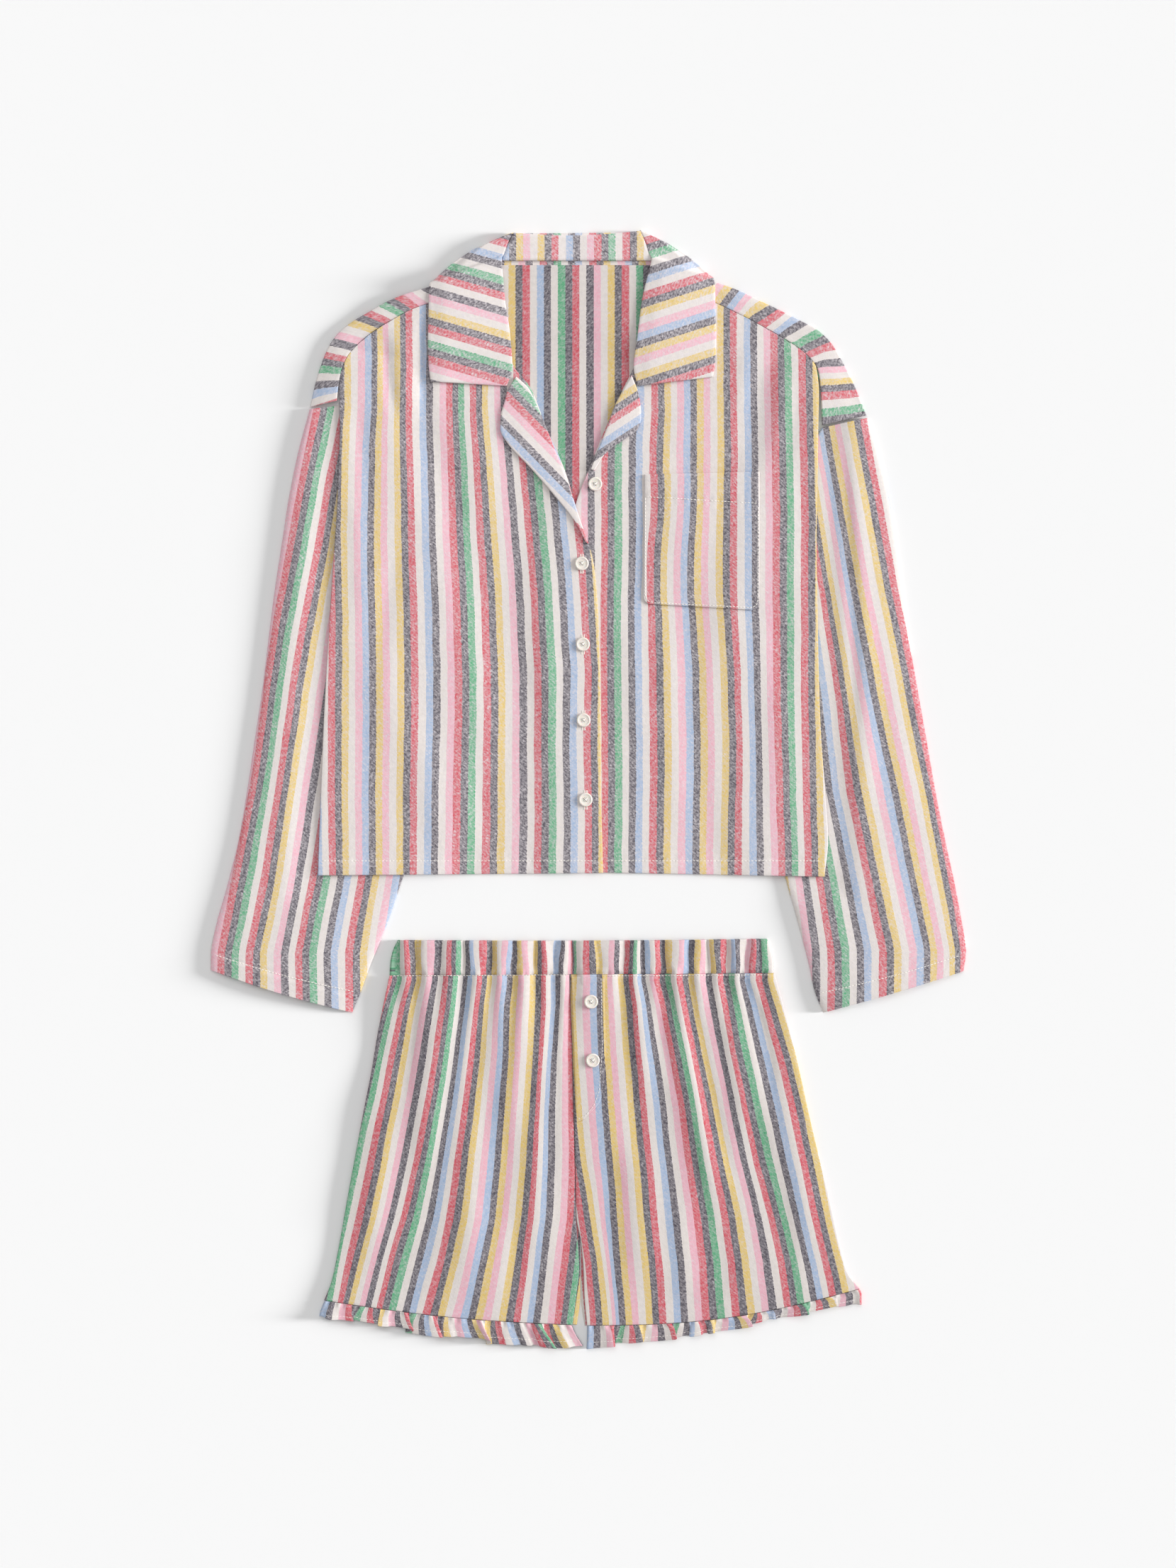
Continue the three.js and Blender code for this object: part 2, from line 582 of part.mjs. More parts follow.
const LEG_RIGHT = [
  { lx: -163.5, ly: -151, rx: -16.5, ry: -151 },
  { lx: -168, ly: -172, rx: -15.6, ry: -176 },
  { lx: -173.5, ly: -200, rx: -14.4, ry: -205 },
  { lx: -178.5, ly: -230, rx: -13.6, ry: -240 },
  { lx: -184, ly: -258, rx: -12.8, ry: -275 },
  { lx: -190, ly: -290, rx: -12, ry: -310 },
  { lx: -196, ly: -322, rx: -11.4, ry: -345 },
  { lx: -201, ly: -350, rx: -9.8, ry: -368 },
  { lx: -206, ly: -378, rx: -8.6, ry: -390 },
  { lx: -211, ly: -401, rx: -11, ry: -413 },
  { lx: -217, ly: -416.5, rx: -14, ry: -436.5, bow: 3.5 },
];
const LEG_LEFT = [
  { lx: -16.1, ly: -151, rx: 151, ry: -149 },
  { lx: -15.2, ly: -176, rx: 157.5, ry: -172 },
  { lx: -14, ly: -205, rx: 165, ry: -200 },
  { lx: -13.2, ly: -240, rx: 172.5, ry: -232 },
  { lx: -12.4, ly: -275, rx: 179, ry: -262 },
  { lx: -11.6, ly: -310, rx: 186, ry: -292 },
  { lx: -11, ly: -345, rx: 193, ry: -320 },
  { lx: -6.7, ly: -370, rx: 199, ry: -347 },
  { lx: -4.9, ly: -392, rx: 205, ry: -374 },
  { lx: -4, ly: -415, rx: 211, ry: -394 },
  { lx: -2, ly: -437, rx: 221, ry: -407, bow: 9 },
];

// Long creases that fall from the gathers, and the drag lines across the legs.
const LEG_FOLDS = [
  { x0: -118, y0: -150, x1: -140, y1: -330, high: 2.2, half: 12 },
  { x0: -62, y0: -150, x1: -70, y1: -300, high: 1.8, half: 11 },
  { x0: -36, y0: -170, x1: -44, y1: -400, high: 1.6, half: 13 },
  { x0: -96, y0: -250, x1: -104, y1: -420, high: 1.8, half: 14 },
  { x0: -160, y0: -240, x1: -184, y1: -400, high: 1.5, half: 12 },
  { x0: 34, y0: -150, x1: 44, y1: -260, high: 1.8, half: 10 },
  { x0: 62, y0: -150, x1: 106, y1: -345, high: 2.4, half: 12 },
  { x0: 108, y0: -150, x1: 132, y1: -300, high: 2, half: 11 },
  { x0: 40, y0: -270, x1: 48, y1: -420, high: 1.6, half: 15 },
  { x0: 150, y0: -230, x1: 184, y1: -390, high: 1.7, half: 13 },
];
const GATHERS = 19; // across the front of the waist
const GATHER_HIGH = 1.7;
const WAIST_LEFT = -163;
const WAIST_RIGHT = 151;
const LEG_AIR = 1.4;
const WAIST_SEAM = -150.5;

// The gathers' wave across the waist, uneven in pitch and height.
function gather(x) {
  const at = ((x - WAIST_LEFT) / (WAIST_RIGHT - WAIST_LEFT)) * GATHERS;
  const drift = 0.22 * Math.sin(at * 1.7) + 0.16 * Math.sin(at * 0.61 + 1);
  const swell = 0.75 + 0.25 * Math.sin(at * 2.3 + 0.5);
  const fly = 1 - 0.85 * Math.exp(-(((x - 1) / 17) ** 4)); // the doubled cloth there hardly gathers
  return 0.5 * swell * fly * (1 + Math.cos(2 * Math.PI * (at + drift)));
}

const CENTRE_X = -12;
const outerRight = through(LEG_RIGHT, "ly", "lx");
const outerLeft = through(LEG_LEFT, "ry", "rx");

function legFloor({ x, y }) {
  const fade = smooth((y - WAIST_SEAM + 62) / 62);
  const outer = x < CENTRE_X ? outerRight(y) : outerLeft(y);
  const air = LEG_AIR * Math.sin(Math.PI * clamp01((x - CENTRE_X) / (outer - CENTRE_X))) ** 0.7;
  const frill = smooth((y + 425) / 26);
  return PLY + REST + GATHER_HIGH * gather(x) * fade + (air + foldsAt(x, y, LEG_FOLDS)) * mix(0.35, 1, frill);
}

function legs() {
  const stops = [0, 0.06, 0.13, 0.21, 0.31, 0.43, 0.55, 0.67, 0.79, 0.9, 1];
  const inset = (table, by) => table.map((row) => ({ ...row, lx: row.lx + by, rx: row.rx - by }));
  add("shorts_back_right", sheet(sections(inset(LEG_RIGHT, 0.4), 8, 6), () => 0), COLOURS.inside);
  add("shorts_back_left", sheet(sections(inset(LEG_LEFT, 0.4), 8, 6), () => 0), COLOURS.inside);
  add("shorts_front_right", sheet(sections(LEG_RIGHT, 0, 28, stops), legFloor));
  add("shorts_front_left", sheet(sections(LEG_LEFT, 0, 30, stops), legFloor));
}

// Waistband: a flat tube round the waist, puckered by the elastic that is sewn into it.

const WAISTBAND = [
  { lx: -157, ly: -122, rx: 146, ry: -121, bow: 1 },
  { lx: -161, ly: -131, rx: 148.5, ry: -130 },
  { lx: -163, ly: -141, rx: 150.5, ry: -140 },
  { lx: -163.5, ly: -150.6, rx: 151, ry: -148.6 },
];

function waistband() {
  const crown = (t) => 3 * CASING + REST + 0.8 * Math.sin(Math.PI * t);
  const top = (p) => crown(p.t) + 1.5 * gather(p.x);
  add("waistband", flatTube(sections(WAISTBAND, 3, 60), top, CASING, 6));
}

// Frills: each a flat tube round the leg's hem, fuller than the hem that it is sewn to.

const FRILL_RIGHT = [
  { lx: -217, ly: -417, rx: -14, ry: -437, bow: 3.5 },
  { lx: -219.5, ly: -424, rx: -11, ry: -444, bow: 3 },
  { lx: -221, ly: -431, rx: -5, ry: -454, bow: 3.5 },
];
const FRILL_LEFT = [
  { lx: -2, ly: -437.5, rx: 221, ry: -407.5, bow: 9 },
  { lx: -2, ly: -445, rx: 222.5, ry: -410.5, bow: 8 },
  { lx: -2.5, ly: -455, rx: 222.5, ry: -414, bow: 8 },
];
const FRILL_WAVES = 15; // on the front of each leg
const FRILL_HIGH = 3.6;
const FRILL_SCALLOP = 3;

// A frill's wave: broad crests with tight valleys, uneven in pitch.
function frillWave(u, waves, offset) {
  const at = u * waves + 0.3 * Math.sin(u * 9 + offset) + 0.18 * Math.sin(u * 23 + 2 * offset);
  return 0.5 + 0.5 * Math.cos(2 * Math.PI * at);
}

function frill(table, offset) {
  const rows = sections(table, 3, 60).map((row) =>
    row.map((p) => {
      const wave = frillWave(p.u, FRILL_WAVES, offset);
      return { ...p, y: p.y - FRILL_SCALLOP * p.t * (wave - 0.5), wave };
    }),
  );
  const top = (p) => 2 * PLY + REST + 0.4 + FRILL_HIGH * (0.25 + 0.75 * p.t) * p.wave;
  return flatTube(rows, top, PLY, 6);
}

function frills() {
  add("frill_right", frill(FRILL_RIGHT, 0.4));
  add("frill_left", frill(FRILL_LEFT, 1.7));
}

// Fly: a strip folded back along the centre seam and stitched down, with no opening behind it.

const FLY = [
  { lx: -14.6, ly: -151.5, rx: 12, ry: -151.5 },
  { lx: -12.8, ly: -212, rx: 13, ry: -212 },
  { lx: -11.6, ly: -250, rx: 10, ry: -250 },
  { lx: -11.3, ly: -271, rx: -4, ry: -268 },
];
const flyFloor = (p) => legFloor(p) + PLY + REST + 0.2;

function fly() {
  add("fly", sheet(sections(FLY, 7, 3), flyFloor));
}

sleeves();
back();
fronts();
lapels();
collar();
pocket();
buttons("shirt_button", SHIRT_BUTTONS, (p, i) => (i === 0 ? frontLeftTop(p) : frontRightTop(p)));
legs();
waistband();
fly();
frills();
buttons("shorts_button", SHORTS_BUTTONS, (p) => flyFloor(p) + PLY);

export default set;
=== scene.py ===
"""A child's pyjama set in striped brushed twill, laid flat: a notch-collared shirt above frilled shorts.

Tables and sizes are in millimetres, in the part's own frame: +Z up from the surface, +Y from the shorts'
hems to the shirt's collar, +X to the viewer's right. Left and right in names are the wearer's.
"""
import math

import bpy
import numpy as np
from mathutils import Matrix


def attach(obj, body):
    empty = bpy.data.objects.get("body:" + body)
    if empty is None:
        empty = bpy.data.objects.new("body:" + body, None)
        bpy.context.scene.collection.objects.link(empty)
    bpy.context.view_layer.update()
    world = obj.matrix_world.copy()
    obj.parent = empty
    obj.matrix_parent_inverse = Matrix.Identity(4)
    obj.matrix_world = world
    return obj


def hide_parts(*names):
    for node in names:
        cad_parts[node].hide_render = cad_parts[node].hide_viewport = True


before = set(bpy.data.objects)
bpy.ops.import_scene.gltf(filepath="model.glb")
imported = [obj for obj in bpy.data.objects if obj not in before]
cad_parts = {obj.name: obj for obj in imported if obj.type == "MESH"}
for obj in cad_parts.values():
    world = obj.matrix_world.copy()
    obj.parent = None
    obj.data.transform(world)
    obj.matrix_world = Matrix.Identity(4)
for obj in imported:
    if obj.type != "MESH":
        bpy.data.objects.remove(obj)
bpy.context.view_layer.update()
MM = 0.001

# The view: straight down on the laid-out set, from far enough that nothing leans, framed as in the
# photograph.
PHOTO_PX = (1659, 2212)
MM_PER_PX = 0.58
VIEW_CENTRE = (-1.2, 5.8)
CAMERA_HIGH = 4.0  # metres
SENSOR = 24.0

camera_data = bpy.data.cameras.new("camera")
camera_data.sensor_fit = "VERTICAL"
camera_data.sensor_height = SENSOR
camera_data.lens = SENSOR * CAMERA_HIGH / (PHOTO_PX[1] * MM_PER_PX * MM)
camera = bpy.data.objects.new("camera", camera_data)
camera.location = (VIEW_CENTRE[0] * MM, VIEW_CENTRE[1] * MM, CAMERA_HIGH)
bpy.context.collection.objects.link(camera)
bpy.context.scene.camera = camera
bpy.context.scene.view_settings.view_transform = "Standard"


# The surface: a wide sheet of pale paper, laid level. An even sky and a broad light overhead fill it, and a
# light low on the viewer's right throws a long soft shadow on the left of each piece. The cloth has a side
# light of its own, a little higher, so that its folds show and its far sides don't go dark.
def colour(hex_text):
    """An sRGB colour as linear red, green, blue and alpha."""
    parts = [int(hex_text[i : i + 2], 16) / 255 for i in (1, 3, 5)]
    return [p / 12.92 if p <= 0.04045 else ((p + 0.055) / 1.055) ** 2.4 for p in parts] + [1.0]


def add(tree, kind, inputs=(), **settings):
    """A new node with its settings. An input gets a value, an output, or a node, for its first output."""
    made = tree.nodes.new("ShaderNode" + kind)
    for name, value in settings.items():
        setattr(made, name, value)
    for name, value in dict(inputs).items():
        if isinstance(value, bpy.types.Node):
            value = next(output for output in value.outputs if output.enabled)
        if isinstance(value, bpy.types.NodeSocket):
            tree.links.new(value, made.inputs[name])
        else:
            made.inputs[name].default_value = value
    return made


def new_material(name):
    """A material with its node tree, which is empty but for the output node."""
    material = bpy.data.materials.new(name)
    material.use_nodes = True
    material.node_tree.nodes.clear()
    return material, material.node_tree, material.node_tree.nodes.new("ShaderNodeOutputMaterial")


FLOOR_HALF = 4.0  # metres
FLOOR_BELOW = 0.05
FLOOR_COLOUR = "#FBFBFB"
PAPER_TOOTH = 900.0  # grains in the sheet's whole width: one each 9 mm, as the real tooth is too fine to show

floor_mesh = bpy.data.meshes.new("floor")
corners = [(x * FLOOR_HALF, y * FLOOR_HALF) for x, y in ((-1, -1), (1, -1), (1, 1), (-1, 1))]
floor_mesh.from_pydata([(x, y, -FLOOR_BELOW * MM) for x, y in corners], [], [(0, 1, 2, 3)])
floor = bpy.data.objects.new("floor", floor_mesh)
bpy.context.collection.objects.link(floor)

# Uncoated paper, smooth rolled: it scatters light evenly, with no gloss, so that shadows lie soft on it.
paper, tree, output = new_material("matt_paper_sweep")
tooth = add(tree, "TexNoise", {"Scale": PAPER_TOOTH, "Detail": 2.0})
relief = add(tree, "Bump", {"Height": tooth, "Strength": 0.05, "Distance": 0.2 * MM})
surface = add(tree, "BsdfPrincipled", {"Base Color": colour(FLOOR_COLOUR), "Roughness": 0.95,
                                       "Specular IOR Level": 0.1, "Normal": relief})
tree.links.new(surface.outputs["BSDF"], output.inputs["Surface"])
floor_mesh.materials.append(paper)

SKY = 0.46
world = bpy.data.worlds.new("even_sky")
world.use_nodes = True
world.node_tree.nodes["Background"].inputs["Color"].default_value = (1, 1, 1, 1)
world.node_tree.nodes["Background"].inputs["Strength"].default_value = SKY
bpy.context.scene.world = world


def softbox(name, share, spread, high, towards):
    """A distant light that gives a level surface its share of full light. Its spread, its height above the
    floor and the way it stands from the middle, counted from +X, are in degrees."""
    light = bpy.data.lights.new(name, "SUN")
    light.energy = share * math.pi / math.sin(math.radians(high))
    light.angle = math.radians(spread)
    lamp = bpy.data.objects.new(name, light)
    lamp.rotation_euler = (0, math.radians(90 - high), math.radians(towards))
    bpy.context.collection.objects.link(lamp)
    return lamp


def light_floor(lamp, state):
    """The lamp lights only the floor, or with EXCLUDE, all but the floor."""
    lit = bpy.data.collections.new(lamp.name + "_lights")
    lit.objects.link(floor)
    lit.collection_objects[0].light_linking.link_state = state
    lamp.light_linking.receiver_collection = lit


softbox("top_light", share=0.16, spread=50, high=62, towards=100)
light_floor(softbox("side_light", share=0.42, spread=32, high=24, towards=10), "EXCLUDE")
light_floor(softbox("low_side_light", share=0.36, spread=10, high=8.6, towards=1), "INCLUDE")


# The cloth: yarn-dyed cotton in a 2/2 twill, brushed to a soft nap. Coloured warp ends in stripes of 5.8 mm
# are crossed by a cream weft, so each colour is broken by fine pale diagonals, strongest on the dark ones.
# The whole order of 36 stripes comes round every 209 mm.
STRIPE = 5.8
CHART = """red charcoal yellow cream pink blue charcoal yellow pink cream yellow charcoal
red cream blue charcoal cream pink red charcoal green cream red charcoal
yellow cream pink charcoal cream red charcoal green cream charcoal blue cream""".split()
YARN = {
    "red": "#D03A4C",
    "charcoal": "#35303F",
    "yellow": "#E3C25F",
    "cream": "#E4DCD5",
    "pink": "#EDAFBE",
    "blue": "#9DB6D6",
    "green": "#40A772",
}
WEFT_YARN = "#DFD8DB"
REPEAT = STRIPE * len(CHART)
TWILL = 3.0  # one diagonal of the real weave is 1.8 mm up the warp, which is too fine to show
FLOAT = 1.4  # what shows of one thread between two crossings; 0.9 mm in the real weave, too fine to show
SLANT = 0.9  # how far the diagonals climb for each step across
INTO_NEXT = 0.12  # the share of a stripe by which its edge steps in and out with the weave


def striped_twill(name, weft, brushed, sheen, painted_light_level):
    """Striped twill, for a UV map that runs one unit for each repeat, across the stripes and up the warp.

    weft is how strongly the cream weft shows, brushed how uneven the nap leaves it, sheen the nap's own soft
    light at a low angle, and the last argument is a painted light level: it makes the whole cloth's colour
    lighter or darker, for more or less light falling on it.
    """
    material, tree, output = new_material(name)
    place = add(tree, "SeparateXYZ", {"Vector": add(tree, "UVMap", uv_map="cloth")})
    across, up = place.outputs["X"], place.outputs["Y"]
    climb = add(tree, "Math", {0: across, 1: SLANT, 2: up}, operation="MULTIPLY_ADD")
    down = add(tree, "Math", {0: across, 1: up}, operation="SUBTRACT")
    down_half = add(tree, "Math", {0: down, 1: 0.5}, operation="MULTIPLY")
    thirtyfold = add(tree, "Math", {0: across, 1: 30.0}, operation="MULTIPLY")
    even = add(tree, "CombineXYZ", {"X": across, "Y": up})
    slanted = add(tree, "CombineXYZ", {"X": climb, "Y": down_half})
    narrow = add(tree, "CombineXYZ", {"X": thirtyfold, "Y": up})

    # What is uneven in the cloth: the shape of its spots, their size in millimetres and their detail, then
    # the part of the noise that is used, from and to, and the values that it is turned to.
    spots = {
        "bend in the diagonals": (even, 9.0, 2.0, 0.0, 1.0, 0.0, 1.1),
        "dashes": (slanted, FLOAT, 1.5, 0.3, 0.7, -1.0, 1.0),
        "tufts of nap": (even, 2.6, 3.0, 0.3, 0.7, 1 - brushed, 1 + brushed),
        "patches of nap": (even, 14.0, 2.0, 0.25, 0.75, 0.8, 1.2),
        # The slubs' range is also scaled by the painted light level, which lightens or darkens the whole
        # cloth.
        "slubs under painted light level": (narrow, 9.0, 3.0, 0.25, 0.75, 0.95 * painted_light_level, 1.04 * painted_light_level),
        "mottling": (even, 3.2, 4.0, 0.25, 0.75, 0.94, 1.06),
        "fuzz": (even, 1.1, 3.0, 0.0, 1.0, 0.0, 0.7),
    }
    uneven = {}
    for what, (shape, size, detail, start, end, low, high) in spots.items():
        noise = add(tree, "TexNoise", {"Vector": shape, "Scale": REPEAT / size, "Detail": detail})
        uneven[what] = add(tree, "MapRange", {0: noise, 1: start, 2: end, 3: low, 4: high})

    # The diagonals: even waves up the warp, broken into dashes where one thread passes over another.
    bend = uneven["bend in the diagonals"]
    turns = add(tree, "Math", {0: climb, 1: REPEAT / TWILL, 2: bend}, operation="MULTIPLY_ADD")
    angle = add(tree, "Math", {0: turns, 1: 2 * math.pi}, operation="MULTIPLY")
    wave = add(tree, "Math", {0: angle}, operation="SINE")
    shown = add(tree, "Math", {0: wave, 1: 0.25, 2: uneven["dashes"]}, operation="MULTIPLY_ADD")
    over_weft = add(tree, "MapRange", {0: shown, 1: -1.15, 2: 1.25, 3: 0.1, 4: 0.92})

    # The warp's colours: one ramp for each half of the chart, since a ramp holds 32 stops at most.
    step = INTO_NEXT / len(CHART)
    stepped = add(tree, "Math", {0: over_weft, 1: step, 2: across}, operation="MULTIPLY_ADD")
    along_repeat = add(tree, "Math", {0: stepped}, operation="FRACT")
    half = len(CHART) // 2
    ramps = []
    for part in (0, 1):
        in_half = add(tree, "Math", {0: along_repeat, 1: 2.0, 2: -float(part)}, operation="MULTIPLY_ADD")
        ramps.append(add(tree, "ValToRGB", {"Fac": in_half}))
        ramps[part].color_ramp.interpolation = "CONSTANT"
        stops = ramps[part].color_ramp.elements
        while len(stops) < half:
            stops.new(1.0)
        for i, yarn in enumerate(CHART[part * half : (part + 1) * half]):
            stops[i].position = i / half
            stops[i].color = colour(YARN[yarn])
    second = add(tree, "Math", {0: along_repeat, 1: 0.5}, operation="GREATER_THAN")
    warp = add(tree, "Mix", {0: second, 6: ramps[0], 7: ramps[1]}, data_type="RGBA")

    # The weft over it, worn thin in places by the brushing, and the light and dark of slubs and mottling. The
    # slubs' values also carry the painted light level, which is painted light or shade over the whole cloth.
    weft_seen = add(tree, "Math", {0: over_weft, 1: weft, 2: 0.05}, operation="MULTIPLY_ADD")
    worn = add(tree, "Math", {0: uneven["tufts of nap"], 1: uneven["patches of nap"]}, operation="MULTIPLY")
    weft_left = add(tree, "Math", {0: weft_seen, 1: worn}, operation="MULTIPLY")
    woven = add(tree, "Mix", {0: weft_left, 6: warp, 7: colour(WEFT_YARN)}, data_type="RGBA")
    slubs_and_painted_light, mottling = uneven["slubs under painted light level"], uneven["mottling"]
    light = add(tree, "Math", {0: slubs_and_painted_light, 1: mottling}, operation="MULTIPLY")
    finished = add(tree, "Mix", {0: 1.0, 6: woven, 7: light}, data_type="RGBA", blend_type="MULTIPLY")

    relief = add(tree, "Math", {0: over_weft, 1: 0.5, 2: uneven["fuzz"]}, operation="MULTIPLY_ADD")
    bump = add(tree, "Bump", {"Height": relief, "Strength": 0.5, "Distance": 0.22 * MM})
    surface = add(tree, "BsdfPrincipled", {"Base Color": finished, "Roughness": 0.92,
                                           "Specular IOR Level": 0.2, "Sheen Weight": sheen,
                                           "Sheen Roughness": 0.55, "Normal": bump})
    tree.links.new(surface.outputs["BSDF"], output.inputs["Surface"])
    return material


# Brushed cloth has a soft matt bloom that pales its colours. The shorts' cloth and the shirt's wrong side are
# brushed less, so they are a little deeper in colour; they are also painted 9% darker, as painted shade for
# the less light that falls on them. Collar and lapels are fused to an interfacing, which holds them smooth,
# and they are the palest, partly because they are painted 6% lighter, as painted light for facing the light
# more.
BRUSHED = striped_twill("brushed_striped_cotton_twill", weft=0.60, brushed=0.55, sheen=0.12, painted_light_level=1.0)
LESS_BRUSHED_PAINTED_DARKER = striped_twill("lightly_brushed_striped_cotton_twill_painted_darker", weft=0.44, brushed=0.60, sheen=0.06,
                             painted_light_level=0.91)
FUSED_PAINTED_LIGHTER = striped_twill("interfaced_striped_cotton_twill_painted_lighter", weft=0.70, brushed=0.55, sheen=0.12, painted_light_level=1.06)


# Sleeves. Each is one piece of cloth, folded along its outer edge and sewn along its inner one, and lies as a
# flat tube. The cuff is turned up 14 mm and topstitched. The body covers the upper, inner part of each.
def table(names, *rows):
    """Columns by name, from rows of numbers."""
    return dict(zip(names.split(), np.array(rows, float).T))


def smooth(value):
    """From 0 to 1 as the value does, level at both ends."""
    t = np.clip(value, 0, 1)
    return t * t * (3 - 2 * t)


def through(xs, ys, x):
    """A curve through the points xs, ys, with no overshoot between them."""
    order = np.argsort(xs)
    xs, ys = np.asarray(xs, float)[order], np.asarray(ys, float)[order]
    chord = np.diff(ys) / np.diff(xs)
    before, after = np.r_[chord[0], chord], np.r_[chord, chord[-1]]
    same_way = before * after > 0
    slope = np.where(same_way, 2 * before * after / np.where(same_way, before + after, 1), 0)
    x = np.clip(x, xs[0], xs[-1])
    i = np.clip(np.searchsorted(xs, x, "right") - 1, 0, len(xs) - 2)
    width = xs[i + 1] - xs[i]
    t = (x - xs[i]) / width
    start, end = 2 * t**3 - 3 * t**2 + 1, 3 * t**2 - 2 * t**3
    leaving, arriving = t**3 - 2 * t**2 + t, t**3 - t**2
    return ys[i] * start + ys[i + 1] * end + width * (slope[i] * leaving + slope[i + 1] * arriving)


RIM = 0.8  # how far in from an edge the cloth rounds over
FOLD_RIM = 2.2  # and from a fold


def spread(length, step):
    """Places from 0 to 1 along a length, a step apart, with close ones where its two ends round over."""
    close = RIM * np.array([0, 0.14, 0.45, 1])
    middle = np.linspace(RIM, length - RIM, max(3, round(length / step)))
    return np.r_[close[:-1], middle, length - close[:-1][::-1]] / length


def laid(rows, across, along):
    """A grid of points on a piece, from a table with a row for each section: x, y, u across and t along."""
    stops = np.linspace(0, 1, len(rows["lx"]))
    ends = {name: through(stops, rows[name], along)[:, None] for name in rows}
    u = np.broadcast_to(across[None, :], (len(along), len(across)))
    bow = ends.get("bow", 0) * np.sin(math.pi * u)
    grid = {name: np.broadcast_to(value, u.shape) for name, value in ends.items()}
    grid["x"] = ends["lx"] + (ends["rx"] - ends["lx"]) * u
    grid["y"] = ends["ly"] + (ends["ry"] - ends["ly"]) * u - bow
    grid["u"], grid["t"] = u, np.broadcast_to(along[:, None], u.shape)
    return grid


def edge_runs(x, y, axis):
    """How far each point lies from the two ends of its grid line."""
    steps = np.hypot(np.diff(x, axis=axis), np.diff(y, axis=axis))
    zero = np.zeros_like(np.take(x, [0], axis=axis))
    run = np.concatenate([zero, np.cumsum(steps, axis=axis)], axis=axis)
    return np.minimum(run, np.take(run, [-1], axis=axis) - run)


def rounded(run, rim=RIM):
    """From 0 at an edge to 1 where it has rounded over."""
    return np.sqrt(1 - (1 - np.clip(run / rim, 0, 1)) ** 2)


def new_piece(name, points, faces, uv, material, slot=None, replaces=()):
    """A smooth-shaded mesh object in metres, on the part's one body."""
    mesh = bpy.data.meshes.new(name)
    mesh.from_pydata((points * MM).tolist(), [], faces.tolist())
    layer = mesh.uv_layers.new(name="cloth")
    corner = np.zeros(len(mesh.loops), np.int32)
    mesh.loops.foreach_get("vertex_index", corner)
    layer.data.foreach_set("uv", (uv[corner] / REPEAT).astype(np.float32).ravel())
    mesh.polygons.foreach_set("use_smooth", np.ones(len(mesh.polygons), bool))
    mesh.materials.append(material)
    mesh.update()
    piece = bpy.data.objects.new(f"{name}_cloth" if slot else name, mesh)
    bpy.context.collection.objects.link(piece)
    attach(piece, "root")
    if replaces:
        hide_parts(*replaces)
    return piece


def quads(a, b, c, d):
    """Four-cornered faces from four like arrays of point numbers."""
    return np.stack([a.ravel(), b.ravel(), c.ravel(), d.ravel()], axis=1)


def shell(x, y, top, under, uv):
    """Points, faces and UVs of a thin closed shell over a grid, with its four edges rounded over."""
    round_over = rounded(np.minimum(edge_runs(x, y, 0), edge_runs(x, y, 1)))
    middle, half = (top + under) / 2, (top - under) / 2 * round_over
    count = x.size
    upper = np.arange(count).reshape(x.shape)
    lower = upper.copy()
    inside = np.zeros(x.shape, bool)
    inside[1:-1, 1:-1] = True
    lower[inside] = count + np.arange(inside.sum())
    points = np.concatenate([
        np.stack([x, y, middle + half], -1).reshape(-1, 3),
        np.stack([x, y, middle - half], -1)[inside],
    ])
    faces = [quads(g[:-1, :-1], g[:-1, 1:], g[1:, 1:], g[1:, :-1]) for g in (upper, lower)]
    faces[1] = faces[1][:, ::-1]
    return points, np.concatenate(faces), np.concatenate([uv.reshape(-1, 2), uv[inside]])


def ring_tube(outer, inner, uv):
    """Points, faces and UVs of an open tube: rings of points outside and inside, joined by a rounded rim."""
    rows, size, _ = outer.shape
    rims = [(outer[i] + inner[i]) / 2 + 0.3 * (outer[i] - outer[j]) / np.linalg.norm(
        outer[i] - outer[j], axis=1, keepdims=True) for i, j in ((0, 1), (-1, -2))]
    points = np.concatenate([outer.reshape(-1, 3), inner.reshape(-1, 3), *rims])
    at = np.arange(rows * size).reshape(rows, size)
    faces = []
    for grid, flip in ((at, 1), (at + rows * size, -1)):
        beside = np.roll(grid, -1, axis=1)
        faces.append(quads(grid[:-1], beside[:-1], beside[1:], grid[1:])[:, ::flip])
    for row, k, flip in ((0, 0, -1), (rows - 1, 1, 1)):
        rim = 2 * rows * size + k * size + np.arange(size)
        for ring, way in ((at[row], flip), (at[row] + rows * size, -flip)):
            faces.append(quads(ring, np.roll(ring, -1), np.roll(rim, -1), rim)[:, ::way])
    flat = uv.reshape(-1, 2)
    return points, np.concatenate(faces), np.concatenate([flat, flat, uv[0], uv[-1]])


def flat_tube(x, y, top, wall, uv):
    """A tube of cloth lying flat: its upper side at top, its lower side on the floor, both a wall thick."""
    fold = rounded(edge_runs(x, y, 1), FOLD_RIM)
    reach = np.stack([x[:, -1:] - x[:, :1], y[:, -1:] - y[:, :1]], -1)
    reach = reach / np.linalg.norm(reach, axis=-1, keepdims=True)
    lean = np.linspace(1, -1, x.shape[1])[None, :]
    rings = []
    for depth in (0.0, wall):
        middle, half = top / 2, (top / 2 - depth) * fold
        px, py = x + reach[..., 0] * lean * depth, y + reach[..., 1] * lean * depth
        upper = np.stack([px, py, middle + half], -1)
        lower = np.stack([px, py, middle - half], -1)
        rings.append(np.concatenate([upper, lower[:, -2:0:-1]], axis=1))
    return ring_tube(rings[0], rings[1], np.concatenate([uv, uv[:, -2:0:-1]], axis=1))


